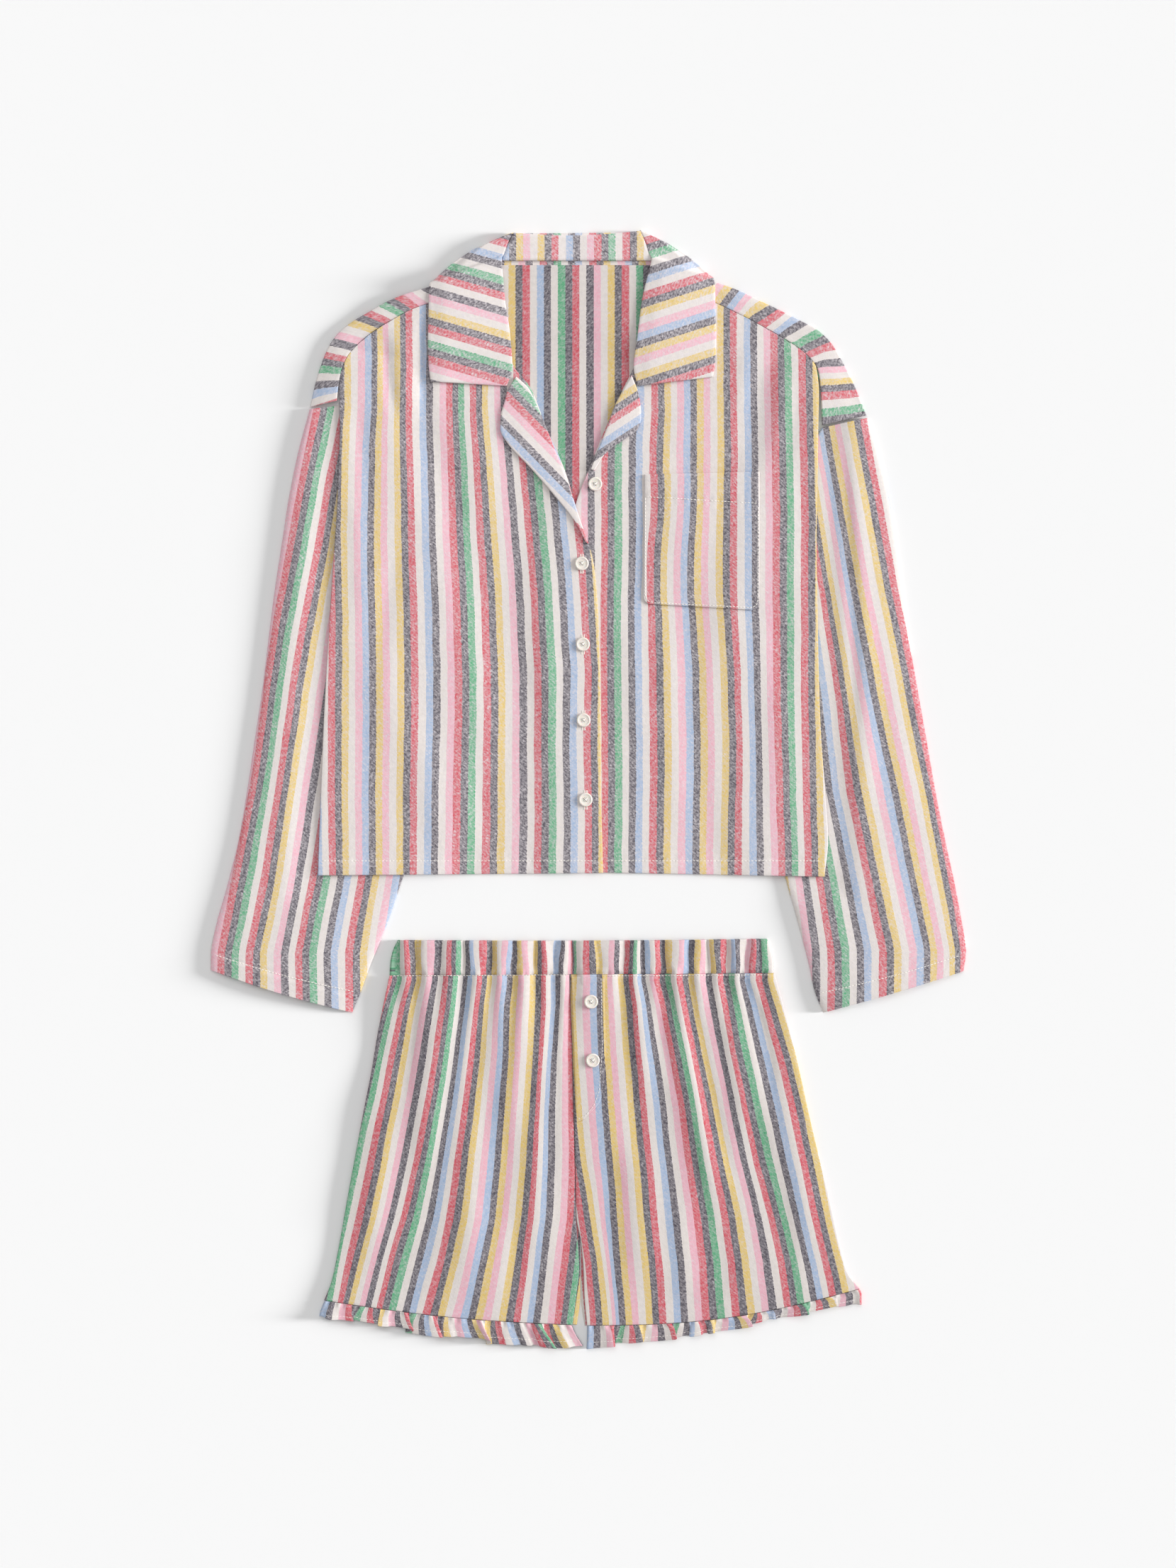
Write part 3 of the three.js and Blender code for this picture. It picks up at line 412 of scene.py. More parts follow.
def folds(x, y, rows):
    """Soft ridges, or troughs where high is negative, each along a bent line between two points."""
    total = np.zeros_like(x)
    for x0, y0, x1, y1, bend, high, half in zip(*rows.values()):
        dx, dy = x1 - x0, y1 - y0
        length = math.hypot(dx, dy)
        along = ((x - x0) * dx + (y - y0) * dy) / length
        middle = bend * (1 - (2 * along / length - 1) ** 2)
        aside = ((x - x0) * dy - (y - y0) * dx) / length - middle
        run = min(0.35 * length, 60)
        ends = smooth(along / run) * smooth((length - along) / run)
        total += high * ends * np.exp(-((aside / half) ** 2))
    return total


def ripple(x, y, seed, wave=70.0):
    """Low, wandering unevenness between about -1 and 1."""
    draw = np.random.default_rng(seed)
    total = np.zeros_like(x)
    for _ in range(6):
        angle, size, start = draw.uniform(0, math.pi), wave * draw.uniform(0.6, 1.7), draw.uniform(0, 6.28)
        total += np.sin((x * math.cos(angle) + 0.5 * y * math.sin(angle)) * 2 * math.pi / size + start)
    return total / 3


def puckers(along, aside, pitch=7.0, reach=5.0):
    """Small puckers beside a row of stitches, and the groove that it draws in the cloth."""
    beat = along / pitch + 0.35 * np.sin(along / 23)
    waves = 0.3 * np.sin(2 * math.pi * beat) * np.exp(-((aside / reach) ** 2))
    return waves - 0.35 * np.exp(-((aside / 0.9) ** 2))


def sway(x, y, seed):
    """How far the stripes wander to the side, in millimetres."""
    return 0.5 * ripple(0.5 * x, y, seed, 58) + 0.22 * ripple(x, y, seed + 1, 20)


def stripe_at(x, y, chart):
    """Which stripe lies at a point, from the places of some of the stripes' edges along a few level lines."""
    levels, rows = chart
    places = [(row[0], np.interp(y, levels, row[1:])) for row in rows]
    stripe = np.zeros_like(x)
    for i, ((low, start), (high, end)) in enumerate(zip(places, places[1:])):
        here = low + (high - low) * (x - start) / (end - start)
        stripe = np.where((x >= start) | (i == 0), here, stripe)
    return stripe


SLEEVE_WIDE = 118.0  # at the cuff
SLEEVE_LONG = 480.0
SLEEVE_FLAT = 2.6  # both layers, where the body lies on them
SLEEVE_PUFF = 3.0
SLEEVE_WALL = 0.9
CUFF_DEEP = 14.0
TURNED_UP = 0.45  # how much higher the cloth lies over its own turned hem
SLEEVE_RIGHT = table(
    "lx ly rx ry bow",
    (-229, 312, -190, 317, 0),
    (-238, 278, -180, 280, 0),
    (-245, 245, -166, 238, 0),
    (-252, 200, -148, 186, 0),
    (-258, 160, -133, 138, 0),
    (-263, 120, -124, 92, 0),
    (-268, 80, -122, 45, 0),
    (-274, 40, -129, 2, 0),
    (-280, 0, -140, -38, 0),
    (-287, -40, -153, -72, 0),
    (-297, -80, -166, -110, 0),
    (-305, -108, -179, -142, 0),
    (-310, -132, -187, -164, 2),
    (-310, -146, -194, -181, 2),
)
SLEEVE_LEFT = table(
    "lx ly rx ry bow",
    (190, 297, 228, 305, 0),
    (176, 276, 237, 274, 0),
    (161, 234, 245, 240, 0),
    (148, 186, 251, 200, 0),
    (138, 140, 256, 160, 0),
    (133, 94, 262, 120, 0),
    (134, 48, 269, 80, 0),
    (141, 5, 276, 40, 0),
    (151, -38, 283, 0, 0),
    (161, -74, 291, -40, 0),
    (170, -106, 299, -77, 0),
    (179, -140, 304, -104, 0),
    (184, -163, 308, -130, 2),
    (191, -181, 306, -147, 1),
)
SLEEVE_FOLDS = table(
    "x0 y0 x1 y1 bend high half",
    (-228, 250, -262, 20, 3, 0.9, 9),
    (-205, -90, -232, -150, 0, 0.5, 9),
    (-270, -20, -288, -140, 2, 0.7, 10),
    (-232, 60, -243, -70, -3, -0.8, 6),
    (-215, 20, -176, -120, 4, -0.6, 8),
    (203, 300, 214, 20, -6, -1.6, 5),
    (214, 280, 226, -30, -5, 1.3, 9),
    (236, 230, 268, -40, 4, 0.8, 9),
    (232, -40, 262, -150, 3, 0.7, 11),
    (206, -60, 222, -160, -2, -0.6, 7),
)
SLEEVE_RIGHT_STRIPES = (-132, -80, 0, 80, 160, 245, 312), (
    (18, -303.2, -294.2, -278.5, -266.5, -254.5, -239.2, -226),
    (24, -268.8, -259, -246, -234.8, -221, -206, -192),
    (39, -182.2, -173.2, -160, -148, -136, -120, -106),
)
SLEEVE_LEFT_STRIPES = (-130, -77, 0, 80, 160, 240, 300), (
    (27, 182.1, 174.8, 160, 150, 140, 126, 116),
    (36, 236.4, 226.3, 210.5, 201.2, 189.2, 176, 165),
    (42, 272.9, 262.3, 246.5, 229, 214.2, 200.7, 190),
    (45, 289.6, 279.1, 263.8, 246.8, 230.4, 216.2, 205),
    (48, 303.9, 294.8, 280, 263.8, 247.9, 233.2, 222),
)
HEM_Y = -68.0
BODY_EDGES = table(
    "y right left",
    (-68, -222, 192),
    (-40, -221, 195),
    (0, -219.5, 192.5),
    (60, -217, 188.5),
    (140, -213, 186.5),
    (200, -209, 185.5),
    (260, -205, 186.5),
    (300, -204, 187),
    (330, -204, 187.5),
)
SLEEVE_SEWN = []  # the line of each cuff's stitches


def sleeve_top(x, y, u):
    """The height of a sleeve's upper side: low where the body lies on it, and fuller beyond."""
    side_right = through(BODY_EDGES["y"], BODY_EDGES["right"], y)
    side_left = through(BODY_EDGES["y"], BODY_EDGES["left"], y)
    beyond = np.maximum.reduce([side_right - x, x - side_left, HEM_Y - y]) - 8
    clear = smooth(beyond / 22)
    crown = np.sin(math.pi * np.clip(u, 0, 1)) ** 0.6
    soft = folds(x, y, SLEEVE_FOLDS) + 0.25 * ripple(x, y, 3)
    return SLEEVE_FLAT + clear * (SLEEVE_PUFF * crown + soft * smooth(4 * np.minimum(u, 1 - u)))


def sleeve(name, rows, chart):
    """A sleeve, and the line of its cuff's stitches, kept for the topstitching."""
    grid = laid(rows, spread(SLEEVE_WIDE, 3.2), spread(SLEEVE_LONG, 3.4))
    x, y = grid["x"], grid["y"]
    down = np.cumsum(np.hypot(np.diff(x, axis=0, prepend=x[:1]), np.diff(y, axis=0, prepend=y[:1])), axis=0)
    to_cuff = down[-1:] - down
    cuff = puckers(grid["u"] * SLEEVE_WIDE, to_cuff - CUFF_DEEP, 8.5, 7.0)
    cuff += TURNED_UP * smooth((CUFF_DEEP - to_cuff) / 1.5)
    top = sleeve_top(x, y, grid["u"]) + cuff * smooth(6 * np.minimum(grid["u"], 1 - grid["u"]))
    uv = np.stack([stripe_at(x, y, chart) * STRIPE + sway(x, y, 11), -down], -1)
    piece = new_piece(name, *flat_tube(x, y, top, SLEEVE_WALL, uv), BRUSHED, "twill", [name])
    row = np.argmin(np.abs(to_cuff[:, 20] - CUFF_DEEP))
    SLEEVE_SEWN.append(np.stack([x[row], y[row], top[row]], -1)[4:-4])


sleeve("sleeve_right", SLEEVE_RIGHT, SLEEVE_RIGHT_STRIPES)
sleeve("sleeve_left", SLEEVE_LEFT, SLEEVE_LEFT_STRIPES)


# Back: one piece of cloth that lies face down over the sleeves and the collar's fall, so the neck opening
# shows its less brushed wrong side, in the cloth copy painted darker as painted shade. It runs forward over
# each shoulder, as a folded band, to a seam on the chest.
LAYER = 1.2  # one layer of cloth, with its nap
REST = 0.35  # between two layers that lie on each other
RISE = SLEEVE_FLAT + 0.3
DRAPE = 40.0  # over what distance the cloth comes down beside a sleeve
FALL_RISE = 2.5  # how far the collar's fall lifts the cloth on it
BAND_HIGH = 2.75
BAND_SINK = 0.6  # how far into the back's own layer the folded band starts
BAND_DEEP = 18.0
BAND_LONG = 230.0
CENTRE_X = -12.0  # the middle of the neck, and of the shorts
BACK_WIDE = 400.0
BACK_LONG = 500.0
BACK_FIRST = -49.0  # moves the back's stripes to where they lie in the neck
BACK = table(
    "lx ly rx ry",
    (-220.5, -66, 190.5, -67),
    (-219.5, -40, 193.5, -40),
    (-218, 0, 191, 0),
    (-215.5, 60, 187, 60),
    (-211.5, 140, 185, 140),
    (-207.5, 200, 184, 200),
    (-204, 260, 185, 260),
    (-203, 300, 185.5, 300),
    (-203.5, 330, 186.5, 330),
    (-206, 350, 190, 350),
    (-198, 366, 184, 364),
    (-180, 380, 168, 378),
    (-154, 396, 138, 393),
    (-124, 408, 104, 407),
    (-96, 421, 76, 420),
    (-76, 430, 54, 430),
)
SHOULDER_RIGHT = table(
    "lx ly rx ry stripe skew",
    (-74, 432, -78, 414, 8, 2.4),
    (-92, 427, -94, 409, 10.5, 2.2),
    (-110, 420, -112, 404, 12.9, 2.0),
    (-132, 412, -132, 398.5, 15.2, 1.8),
    (-150, 406.5, -147, 393, 17.6, 1.6),
    (-166, 400, -158, 387, 19.9, 1.4),
    (-180, 392, -169, 380.5, 22.2, 1.2),
    (-193, 384.5, -180, 373, 24.2, 1.1),
    (-205, 375, -190, 364.5, 26.1, 1.0),
    (-213, 364, -198, 355, 28.1, 0.9),
    (-219, 350, -202.5, 344, 30.6, 0.75),
    (-224, 334, -205, 332, 33.1, 0.6),
    (-228.5, 314, -206.5, 319, 35.9, 0.46),
)
SHOULDER_LEFT = table(
    "lx ly rx ry stripe skew",
    (58, 414, 54, 432, 53.3, -2.0),
    (74, 409, 72, 427, 50.5, -1.9),
    (92, 403, 90, 420, 47.5, -1.85),
    (104, 398.5, 103, 416, 45.1, -1.8),
    (118, 392, 120, 410, 42.4, -1.65),
    (131, 385.5, 137, 402, 39.3, -1.5),
    (145, 378, 153, 394.5, 37.2, -1.35),
    (159, 370, 170, 386, 34.3, -1.2),
    (172, 361.5, 186, 377.5, 31.9, -1.1),
    (181, 353, 198, 366, 29.7, -1.0),
    (187, 343, 208, 349, 27.1, -0.8),
    (189, 325, 217, 331, 23.5, -0.65),
    (190, 299, 226.5, 307.3, 19.5, -0.46),
)


def over_sleeves(x, y, wider=0.0):
    """How far the sleeves lift what lies on them."""
    right = smooth((through(SLEEVE_RIGHT["ry"], SLEEVE_RIGHT["rx"], y) + wider + DRAPE - x) / DRAPE)
    left = smooth((x - through(SLEEVE_LEFT["ly"], SLEEVE_LEFT["lx"], y) + wider + DRAPE) / DRAPE)
    return RISE * np.maximum(right, left) * smooth((356 + wider - y) / 30)


def over_fall(x, y, wider=0.0):
    """How far the collar's fall, folded behind the neck, lifts what lies on it."""
    sideways = smooth((190 + wider - np.abs(x - CENTRE_X)) / 62)
    return FALL_RISE * smooth((y - 352 + wider) / 36) * sideways


def joined(*shells):
    """Several closed shells as one set of points, faces and UVs."""
    points, faces, uvs, count = [], [], [], 0
    for shell_points, shell_faces, shell_uv in shells:
        points.append(shell_points)
        faces.append(shell_faces + count)
        uvs.append(shell_uv)
        count += len(shell_points)
    return np.concatenate(points), np.concatenate(faces), np.concatenate(uvs)


def shoulder_band(rows, to_seam):
    """A folded band, where u runs from the fold to the seam if to_seam is 1, or from the seam if it is -1."""
    grid = laid(rows, spread(BAND_DEEP, 1.8), spread(BAND_LONG, 3.0))
    x, y = grid["x"], grid["y"]
    from_fold = grid["u"] if to_seam > 0 else 1 - grid["u"]
    plump = 0.5 * np.sin(math.pi * np.clip(from_fold * 1.3, 0, 1)) + 0.25 * ripple(x, y, 8, 34)
    floor = over_fall(x, y) + BAND_SINK + over_sleeves(x, y, 18) * smooth(from_fold)
    top = floor + BAND_HIGH - BAND_SINK + plump * smooth(from_fold * 5)
    width = np.hypot(x[:, -1:] - x[:, :1], y[:, -1:] - y[:, :1])
    stripe = grid["stripe"] + grid["skew"] * from_fold
    uv = np.stack([stripe * STRIPE + sway(x, y, 9), from_fold * width], -1)
    return shell(x, y, top, floor, uv)


grid = laid(BACK, spread(BACK_WIDE, 5.0), spread(BACK_LONG, 5.0))
x, y = grid["x"], grid["y"]
low = np.maximum(over_sleeves(x, y, 9), over_fall(x, y))
in_neck = smooth((y - 290) / 30) * smooth((70 - np.abs(x - CENTRE_X)) / 20)
loose = np.maximum(0.25 * ripple(x, y, 5, 60) * in_neck, 0)
panel = shell(x, y, low + LAYER + loose, low, np.stack([BACK_FIRST - x, y], -1))
bands = [shoulder_band(SHOULDER_RIGHT, 1), shoulder_band(SHOULDER_LEFT, -1)]
back = new_piece("back", *joined(panel, *bands), BRUSHED, "twill", ["back"])
back.data.materials.append(LESS_BRUSHED_PAINTED_DARKER)
# The wrong side takes the less brushed cloth, which is painted darker as painted shade.
wrong_side_painted_darker = np.zeros(len(back.data.polygons), np.int32)
wrong_side_painted_darker[: len(panel[1])] = 1
back.data.polygons.foreach_set("material_index", wrong_side_painted_darker)


# Fronts: they lie face up on the back and meet its bands at the shoulder seams. The right one laps over the
# left, with a facing folded inside its edge. The hem is turned up 11 mm and topstitched.
LAP = LAYER + REST
FRONT_RIGHT = table(
    "lx ly rx ry",
    (-222, -69, 11, -67),
    (-221, -40, 10.5, -40),
    (-219.5, 0, 9.3, 0),
    (-217, 60, 9, 60),
    (-213, 130, 7.6, 130),
    (-209.5, 185, 4, 182),
    (-206.5, 228, -9, 225),
    (-205, 262, -20, 262),
    (-204, 296, -34, 294),
    (-204.5, 330, -48, 329),
    (-201.5, 350, -63, 350),
    (-191, 367, -66, 368),
    (-169, 383, -67, 384),
    (-147, 396, -70, 399),
    (-112, 407, -78, 416),
)
FRONT_LEFT = table(
    "lx ly rx ry",
    (-22, -66, 192, -70),
    (-22, -40, 195, -40),
    (-22, 0, 192.5, 0),
    (-22, 60, 188.5, 60),
    (-22, 140, 186.5, 140),
    (-20, 200, 185.5, 200),
    (-11, 236, 186, 236),
    (-1, 262, 186.5, 262),
    (12, 294, 187, 296),
    (27, 328, 187.5, 326),
    (37, 350, 184, 351),
    (39, 370, 174, 363),
    (41, 386, 152, 377),
    (43, 400, 128, 390),
    (55, 416, 92, 406),
)
FRONT_FOLDS = table(
    "x0 y0 x1 y1 bend high half",
    (-157, 385, -146, 292, 0, 2.0, 9),
    (-128, 396, -108, 250, 6, 1.1, 12),
    (-96, 330, -88, 210, 0, 1.2, 16),
    (158, 355, 150, 265, 0, 1.7, 10),
    (-190, 150, -120, -40, 0, 1.3, 18),
    (-52, 236, -30, 20, -5, 1.0, 13),
    (60, 150, 75, -50, 0, 1.4, 15),
    (160, 130, 150, -40, 0, 1.3, 13),
)
FRONT_CREASES = table(
    "x0 y0 x1 y1 bend high half",
    (-168, 384, -158, 300, 2, -1.3, 5),
    (-137, 404, -136, 300, 0, -1.5, 3.5),
    (-60, 200, -40, 60, -4, 0.7, 12),
    (-150, 220, -178, 60, 5, -0.95, 9),
    (-196, 260, -186, 120, -3, 1.0, 8),
    (-190, 330, -176, 230, 3, -0.8, 7),
    (-100, 80, -84, -50, 3, -0.9, 10),
    (-136, 60, -128, -60, -2, 0.7, 8),
    (-30, 150, -20, 20, 2, -0.6, 7),
    (-24, 110, -60, 84, 0, 0.5, 6),
    (26, 150, 40, 30, -3, 0.8, 9),
    (110, 146, 118, -40, 4, -0.9, 10),
    (148, 150, 166, 40, -2, -0.7, 8),
    (170, 290, 176, 150, -2, -0.8, 7),
    (130, 372, 120, 300, -2, 1.0, 8),
    (176, 330, 160, 262, 3, -0.9, 7),
    (80, 320, 76, 268, 2, 0.5, 9),
)
RIGHT_STRIPES = (-50, 40, 100, 160, 220, 280, 310), (
    (0, -213.1, -213.1, -212.8, -213.2, -214.4, -213, -211.5),
    (6, -180.4, -179.8, -179.8, -181.2, -181.4, -179.8, -178.2),
    (12, -146.4, -146.1, -145.8, -146.7, -147.7, -149.5, -150.2),
    (18, -111.6, -110.6, -110.0, -111.7, -114.2, -116, -116.8),
    (24, -75.4, -74.8, -74.5, -76.9, -81.4, -85.8, -88),
    (30, -39.4, -39.3, -38.8, -41.9, -47.4, -54, -57),
    (36, -3.4, -4.6, -3.5, -7.2, -12.5, -19, -23),
    (39, 13, 12.5, 12.2, 9, 4, -2, -6),
)
LEFT_STRIPES = (-50, 40, 100, 160, 220, 280, 310), (
    (23, -22.5, -22.5, -22.5, -22.5, -22.5, -22.5, -22.5),
    (30, 15.2, 15.7, 14.4, 14.3, 15.0, 15.5, 16),
    (36, 49.0, 50.2, 48.6, 47.8, 49.5, 49.4, 51.1),
    (42, 84.2, 85.5, 83.9, 80.6, 82.3, 82.4, 82.3),
    (48, 118.8, 120.0, 118.1, 114.8, 115.8, 116.1, 114.8),
    (54, 154.8, 151.2, 150.1, 150.1, 150.0, 149.4, 148.3),
    (60, 186.8, 184.9, 184.4, 184.5, 184.5, 183.6, 182.6),
    (62, 198, 196, 195, 195, 195, 194, 193),
)
FRONT_WIDE = 225.0
FRONT_LONG = 470.0
HEM_DEEP = 11.0
SEAM_GAP = 0.15


def front_floor(x, y):
    """The underside of a front, on the back and in soft waves over it."""
    on_back = np.maximum(over_sleeves(x, y, 18), over_fall(x, y, 18)) + LAYER + REST
    return on_back + folds(x, y, FRONT_FOLDS)


def front_right_floor(x, y):
    """The right front's underside, which rises where it laps over the left front."""
    return front_floor(x, y) + LAP * smooth((x + 52) / 24) * smooth((262 - y) / 20)


def surface_of(x, y):
    """How far the cloth of a front stands over its floor, with its small creases and unevenness."""
    loose = smooth((y - HEM_Y) / 30)
    uneven = 0.22 * ripple(x, y, 21, 80) + 0.08 * ripple(x, y, 22, 26)
    return LAYER + (folds(x, y, FRONT_CREASES) + uneven) * loose


def below_seam(x, y, rows, seam_x, seam_y, within):
    """The cloth's edge brought down to the shoulder seam, where it would pass it."""
    seam = through(rows[seam_x], rows[seam_y], x) - SEAM_GAP
    return np.where(within, np.minimum(y, seam), y)


def front(name, rows, floor_of, chart, shoulder, ends, within):
    """A front on its floor. Its shoulder edge keeps below the band's seam, where within holds."""
    grid = laid(rows, spread(FRONT_WIDE, 2.9), spread(FRONT_LONG, 2.9))
    x = grid["x"]
    y = below_seam(x, grid["y"], shoulder, *ends, within(x))
    up = y - HEM_Y
    hem = puckers(x, up - HEM_DEEP, 8.0) + 0.3 * smooth((HEM_DEEP - up) / 1.5)
    floor_z = floor_of(x, y)
    uv = np.stack([stripe_at(x, y, chart) * STRIPE + sway(x, y, 91), y], -1)
    top = floor_z + surface_of(x, y) + hem
    piece = new_piece(name, *shell(x, y, top, floor_z, uv), BRUSHED, "twill", [name])


front("front_right", FRONT_RIGHT, front_right_floor, RIGHT_STRIPES, SHOULDER_RIGHT, ("rx", "ry"),
      lambda x: x > -203)
front("front_left", FRONT_LEFT, front_floor, LEFT_STRIPES, SHOULDER_LEFT, ("lx", "ly"),
      lambda x: x < 187)


# Lapels: the top of each front's facing, turned back along the roll line. Facing and front are sewn right
# sides together and turned out, so the edge is plain, with no stitches on it.
LAPEL_WIDE = 44.0
LAPEL_LONG = 150.0
LAPEL_HIGH = 2.2  # the doubled cloth
LAPEL_FIRST = 15  # the stripe at each lapel's starting point
LAPEL_RIGHT = table(
    "lx ly rx ry",
    (-3, 203, -0.6, 202),
    (-12, 220, -7, 220),
    (-30, 243, -14.5, 243),
    (-50, 266, -21, 262),
    (-66, 283, -29, 281),
    (-73, 296, -36, 299),
    (-72.5, 307, -43, 315),
    (-69.5, 318, -49.5, 329),
    (-67, 328, -60, 339),
)
LAPEL_LEFT = table(
    "lx ly rx ry",
    (1, 263, 4, 262),
    (5, 274, 14, 277),
    (10, 286.5, 28, 287),
    (15, 299, 39.5, 296),
    (20, 313.5, 42.3, 306),
    (27.5, 328, 41.5, 317),
    (34.5, 340, 39.7, 327),
)


def turned(x, y, start, across, first, stripe=STRIPE):
    """UVs of cloth laid at an angle: its stripes follow on each other from a start point, along across."""
    dx, dy = x - start[0], y - start[1]
    return np.stack([first * STRIPE + (dx * across[0] + dy * across[1]) * STRIPE / stripe,
                     dy * across[0] - dx * across[1]], -1)


def lapel(name, rows, floor_of, start, across):
    """A lapel on a front, with its stripes as turned() lays them."""
    grid = laid(rows, spread(LAPEL_WIDE, 1.8), spread(LAPEL_LONG, 2.0))
    x, y = grid["x"], grid["y"]
    low = floor_of(x, y) + LAYER + REST
    plump = 0.5 * np.sin(math.pi * grid["u"]) * smooth(grid["t"] * 3) + 0.12 * ripple(x, y, 31, 40)
    uv = turned(x, y, start, across, LAPEL_FIRST)
    piece = new_piece(name, *shell(x, y, low + LAPEL_HIGH + plump, low, uv), FUSED_PAINTED_LIGHTER, "twill", [name])


lapel("lapel_right", LAPEL_RIGHT, front_right_floor, (-62.8, 289.7), (0.714, 0.70))
lapel("lapel_left", LAPEL_LEFT, front_floor, (5.3, 277.1), (0.551, -0.835))


# Collar: two layers sewn round their outer edge and turned, in one with its low stand. Its fall is folded
# behind the neck, the stand shows there, and its two leaves lie on the fronts, to their points.
LEAF_RIGHT = table(
    "lx ly rx ry on",
    (-130, 334.5, -67.5, 331, 1),
    (-131.5, 350, -63, 347, 1),
    (-132, 370, -65, 375, 1),
    (-131.5, 392, -69, 402, 1),
    (-131, 413.5, -71.5, 434, 1),
    (-126, 419, -69, 440, 0),
    (-114, 430, -66, 449, 0),
    (-96, 442.5, -62, 457, 0),
)
LEAF_LEFT = table(
    "lx ly rx ry on",
    (39.5, 331, 101, 338.5, 1),
    (36, 347, 103, 354, 1),
    (39.5, 375, 103.5, 372, 1),
    (43, 402, 103, 392, 1),
    (50.5, 434, 102, 417.5, 1),
    (48, 440, 97, 423, 0),
    (45, 450, 82, 436, 0),
    (41, 458.7, 64, 448, 0),
)
FALL = table(
    "lx ly rx ry",
    (-112, 392, 88, 392),
    (-118, 412, 92, 412),
    (-106, 434, 82, 432),
    (-88, 446, 66, 445),
    (-66, 456, 46, 457),
)
STAND = table(
    "lx ly rx ry bow",
    (-72, 433.5, 52, 433.5, 0),
    (-68, 444, 48, 444, 0),
    (-62, 456.5, 42, 458.2, 3),
)
STAND_TOP = 5.3
STAND_FIRST = 13  # the stripe that starts 25 mm to the right of the part's middle
LEAF_WIDE = 66.0
LEAF_LONG = 130.0
LEAF_TAPER = 24.0  # over what distance the rolled edge at the stand comes down to the leaf


def leaf(rows, start, across, first, stripe):
    """One leaf of the collar: it comes from the roll behind the neck, on the floor, to lie on the front."""
    grid = laid(rows, spread(LEAF_WIDE, 2.2), spread(LEAF_LONG, 2.2))
    x, y, on = grid["x"], grid["y"], grid["on"]
    on_front = np.maximum(front_floor(x, y) + LAYER, over_fall(x, y, 18) + BAND_HIGH) + REST
    low = BAND_SINK + (on_front - BAND_SINK) * on
    from_edge = 64 * (grid["u"] if rows is LEAF_RIGHT else 1 - grid["u"])
    outer = 1 - smooth(from_edge / LEAF_TAPER)
    thick = (STAND_TOP - BAND_SINK) * (1 - 0.72 * outer) + (LAPEL_HIGH - STAND_TOP + BAND_SINK) * on
    thick = np.maximum(thick, LAPEL_HIGH) + 1.6 * (1 - grid["u"]) * smooth(4 * grid["u"]) * on
    plump = (0.5 * np.sin(math.pi * grid["u"]) * smooth(grid["t"] * 4) + 0.15 * ripple(x, y, 41, 44)) * on
    return shell(x, y, low + thick + plump, low, turned(x, y, start, across, first, stripe))


grid = laid(FALL, spread(190, 5.0), spread(66, 5.0))
x, y = grid["x"], grid["y"]
collar_shells = [shell(x, y, 0 * x + LAPEL_HIGH, 0 * x, np.stack([x, y], -1))]
grid = laid(STAND, spread(120, 2.5), spread(25, 2.0))
x, y = grid["x"], grid["y"]
roll = 0.4 * ripple(x, y, 44, 50)
collar_shells += [
    shell(x, y, STAND_TOP + roll, 0 * x + BAND_SINK, np.stack([STAND_FIRST * STRIPE + x + 25, y], -1)),
    leaf(LEAF_RIGHT, (-131, 337), (0.276, 0.961), 16, 6.03),
    leaf(LEAF_LEFT, (40, 365), (0.309, -0.951), 42.4, 6.1),
]
collar = new_piece("collar", *joined(*collar_shells), FUSED_PAINTED_LIGHTER, "twill", ["collar"])


# Pocket: a patch of one layer, its stripes matched to the left front's, with its edges turned in and stitched
# down at the sides and foot, and a deep turned hem at the open top.
POCKET = table(
    "lx ly rx ry",
    (44, 153, 138.7, 148),
    (44.4, 200, 139, 200),
    (45, 259, 139, 261),
)
POCKET_WIDE = 95.0
POCKET_LONG = 110.0
POCKET_CORNER = 6.0
POCKET_SLACK = 1.6  # how far the pocket's mouth stands off the front


def pocket_hem_y(x):
    """Where on the table the stitches that hold the pocket's 20 mm hem run."""
    return 240.7 - 0.061 * (x - 44)


grid = laid(POCKET, spread(POCKET_WIDE, 2.2), spread(POCKET_LONG, 2.2))
x, y, u = grid["x"], grid["y"], grid["u"]
from_foot = np.clip(grid["t"] * POCKET_LONG, 0, POCKET_CORNER)
tuck = POCKET_CORNER - np.sqrt(POCKET_CORNER**2 - (POCKET_CORNER - from_foot) ** 2)
x = x + tuck * (1 - 2 * u)
low = front_floor(x, y) + LAYER + 2 * REST + POCKET_SLACK * np.sin(math.pi * u) * smooth(grid["t"] * 1.2)
below_hem = pocket_hem_y(x) - y
hem = puckers(x, below_hem, 7.0) + TURNED_UP * smooth(-below_hem / 1.5)
side = smooth(np.minimum(u, 1 - u) * 12)
high = low + LAYER + 0.25 * ripple(x, y, 51, 42) * side + hem
drawn_in = 2.2 * np.sin(math.pi * smooth((242 - y) / 90)) * (1 - u) ** 2 + 0.8 * ripple(0.4 * x, y, 53, 46)
uv = np.stack([stripe_at(x, y, LEFT_STRIPES) * STRIPE + drawn_in, y + 3], -1)
pocket = new_piece("pocket", *shell(x, y, high, low, uv), BRUSHED, "twill", ["pocket"])
pocket_grid = x, y, high


# Buttons: 18 line, four-hole, turned from cast polyester with a pearly cream streak, and sewn on with cream
# thread crossed in their holes. The shirt's five close its front, and the shorts' two are on a mock fly.
BUTTON = {"radius": 5.75, "thick": 2.4, "rim": 1.3, "dish": 0.45, "hole": 0.7, "spread": 1.3}
SHIRT_BUTTONS = [(4.7, 251), (-6.3, 186), (-5.4, 120), (-4.8, 58), (-3.2, -7)]
BUTTON_GAP = 0.3  # between a button and the cloth, as its thread lets it stand
HOLE_TURNS = (45, 135, 225, 315)
CROSS_LONG = 4.2  # the thread that crosses a button's holes
CROSS_RADIUS = 0.34

